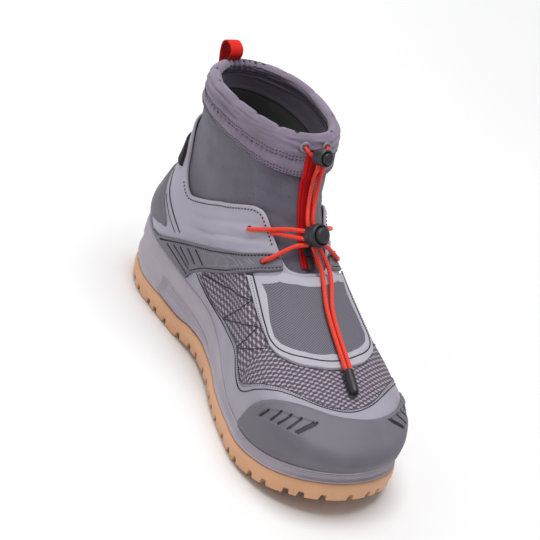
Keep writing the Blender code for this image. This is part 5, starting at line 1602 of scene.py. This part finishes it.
points = np.concatenate([rings.reshape(-1, 3), lugs.reshape(-1, 3)])
lugRecessShade = np.broadcast_to(np.array(outsolePlan["lugRecessShade"])[None, :, None], (count, steps, sides))
faces = [np.concatenate([gridQuads(rows, cols, True), lugQuads]), lugCaps, endCaps(rows, cols)]
made = (points, faces, [points[f][..., :2] for f in faces])
addObject("luggedOutsole", made, gumLook, ("outsole",),
          fields={"deep": np.concatenate([deep.ravel(), lugRecessShade.ravel()])})
print("stage: sole made with", count, "lugs")

# Zip: woven tape with a closed coil down its middle, slider and pull tab
zipPlan = {"half": 8.5, "columns": 72, "rows": 190, "levels": (6.0, 8.93), "slider": 6.40, "thick": 1.0,
           "pitch": 1.5, "coilHalf": 2.9, "seam": 3.9}
across = np.linspace(-zipPlan["half"], zipPlan["half"], zipPlan["columns"])
phi, level = np.meshgrid(across, np.linspace(*zipPlan["levels"], zipPlan["rows"]))
under = -1.2 + 3.1 * ease((level - 8.05) / 0.28)
flat = skinPoint(phi, level, under)
mm = surfaceRun(flat, 1)
mm = mm - mm[:, -1:] / 2
fromSeam = np.abs(mm) - zipPlan["seam"]
# Teeth as a sine wave along the coil, half a pitch apart on its two sides
teeth = 0.5 + 0.5 * np.sin(surfaceRun(flat, 0) * 2 * np.pi / zipPlan["pitch"] + np.where(mm > 0, np.pi, 0))
relief = bump(mm, zipPlan["coilHalf"], 4) * (0.35 + 0.25 * teeth) - 0.5 * bump(mm, 0.35)
relief = relief - 0.25 * bump(fromSeam, 0.5) - np.minimum(roundEdge(edgeFar(flat)[0], 0.5), 0.45)
outer = skinPoint(phi, level, under + zipPlan["thick"] + relief)
# Painted shade: the coil and the thin seam grooves beside it take a darker red
coilAndSeamShade = np.clip(0.6 * bump(mm, 3.2, 6) + 0.9 * bump(fromSeam, 0.4), 0, 1)
addSlab("zipTape", outer, skinPoint(phi, level, under - 0.1), zipLook, ("zip_tape",),
        {"back": coilAndSeamShade})


def softPower(a, power):
    # Power that keeps the sign
    return np.sign(a) * np.abs(a) ** power


def roundedBlock(centre, axes, size, power, rows=22, cols=40):
    # Block with soft edges: an ellipsoid whose sines and cosines are raised to a small power
    v = np.linspace(-np.pi / 2 + 0.02, np.pi / 2 - 0.02, rows)[:, None]
    u = np.arange(cols)[None] * 2 * np.pi / cols
    wide = softPower(np.cos(v), power)
    local = np.broadcast_arrays(wide * softPower(np.cos(u), power), wide * softPower(np.sin(u), power),
                                softPower(np.sin(v), power))
    local = np.stack(local, -1) * np.asarray(size) / 2
    uv = np.stack(np.broadcast_arrays(u * size[0] / 6, v * size[2]), -1)
    return stacked(centre + local @ np.stack(axes), uv)


p, n, up, side = frameAt(0, zipPlan["slider"], 1.6)
axes = (side, up, n)
body = roundedBlock(p - n * 0.3, axes, (7.0, 7.0, 2.4), 0.4)
bridge = roundedBlock(p + n * 0.9 - up * 0.4, axes, (2.2, 5.6, 1.6), 0.5)
addObject("zipSlider", joined([body, bridge]), plasticLook, ("zip_slider",))
pivot = p - up * 4.45 + n * 0.5
tab = roundedBlock(pivot - up * 4.2, axes, (4.6, 9.6, 1.3), 0.35)
addObject("zipPullTab", tab, plasticLook, ("zip_pull_tab",), "zip_tab")


def ribbon(points, half, thick, sides=36):
    # Flat rounded section carried along a path, and which of its points face back
    path = pathThrough(points, 0.7)
    go = unit(np.gradient(path, axis=0))
    side = unit(np.array((0.0, 1.0, 0.0)) - go * go[:, 1:2])
    out = np.cross(go, side)
    a = np.arange(sides) * 2 * np.pi / sides
    wide = half * softPower(np.cos(a), 0.35)
    high = thick / 2 * softPower(np.sin(a), 0.5)
    rings = path[:, None] + side[:, None] * wide[None, :, None] + out[:, None] * high[None, :, None]
    uv = np.stack(np.broadcast_arrays(wide[None], runLength(path)[:, None]), -1)
    back = np.broadcast_to((high > 0).astype(float), rings.shape[:2])
    closedUv = gridUv(np.concatenate([uv, uv[:, :1]], 1))
    faces = [gridQuads(len(path), sides, True), endCaps(len(path), sides)]
    return (rings, faces, [closedUv, np.stack([uv[0, ::-1], uv[-1]])]), back


loopPlan = {
    "half": 4.75, "thick": 1.2,
    "pull": ((17.0, -4, 174.6), (18.4, -4, 179.2), (17.2, -4, 182.4), (13.4, -4, 184.3), (9.8, -4, 184.5),
             (5.2, -4, 181.6), (4.6, -4, 175.0), (6.8, -4, 168.0), (9.0, -4, 159.5))}
# Painted shade: the loop's back face takes the darker red
made, back = ribbon(loopPlan["pull"], loopPlan["half"], loopPlan["thick"])
addObject("heelPullLoop", made, redTapeLook, ("heel_pull_loop",), fields={"back": back})
print("stage: zip and loops made")
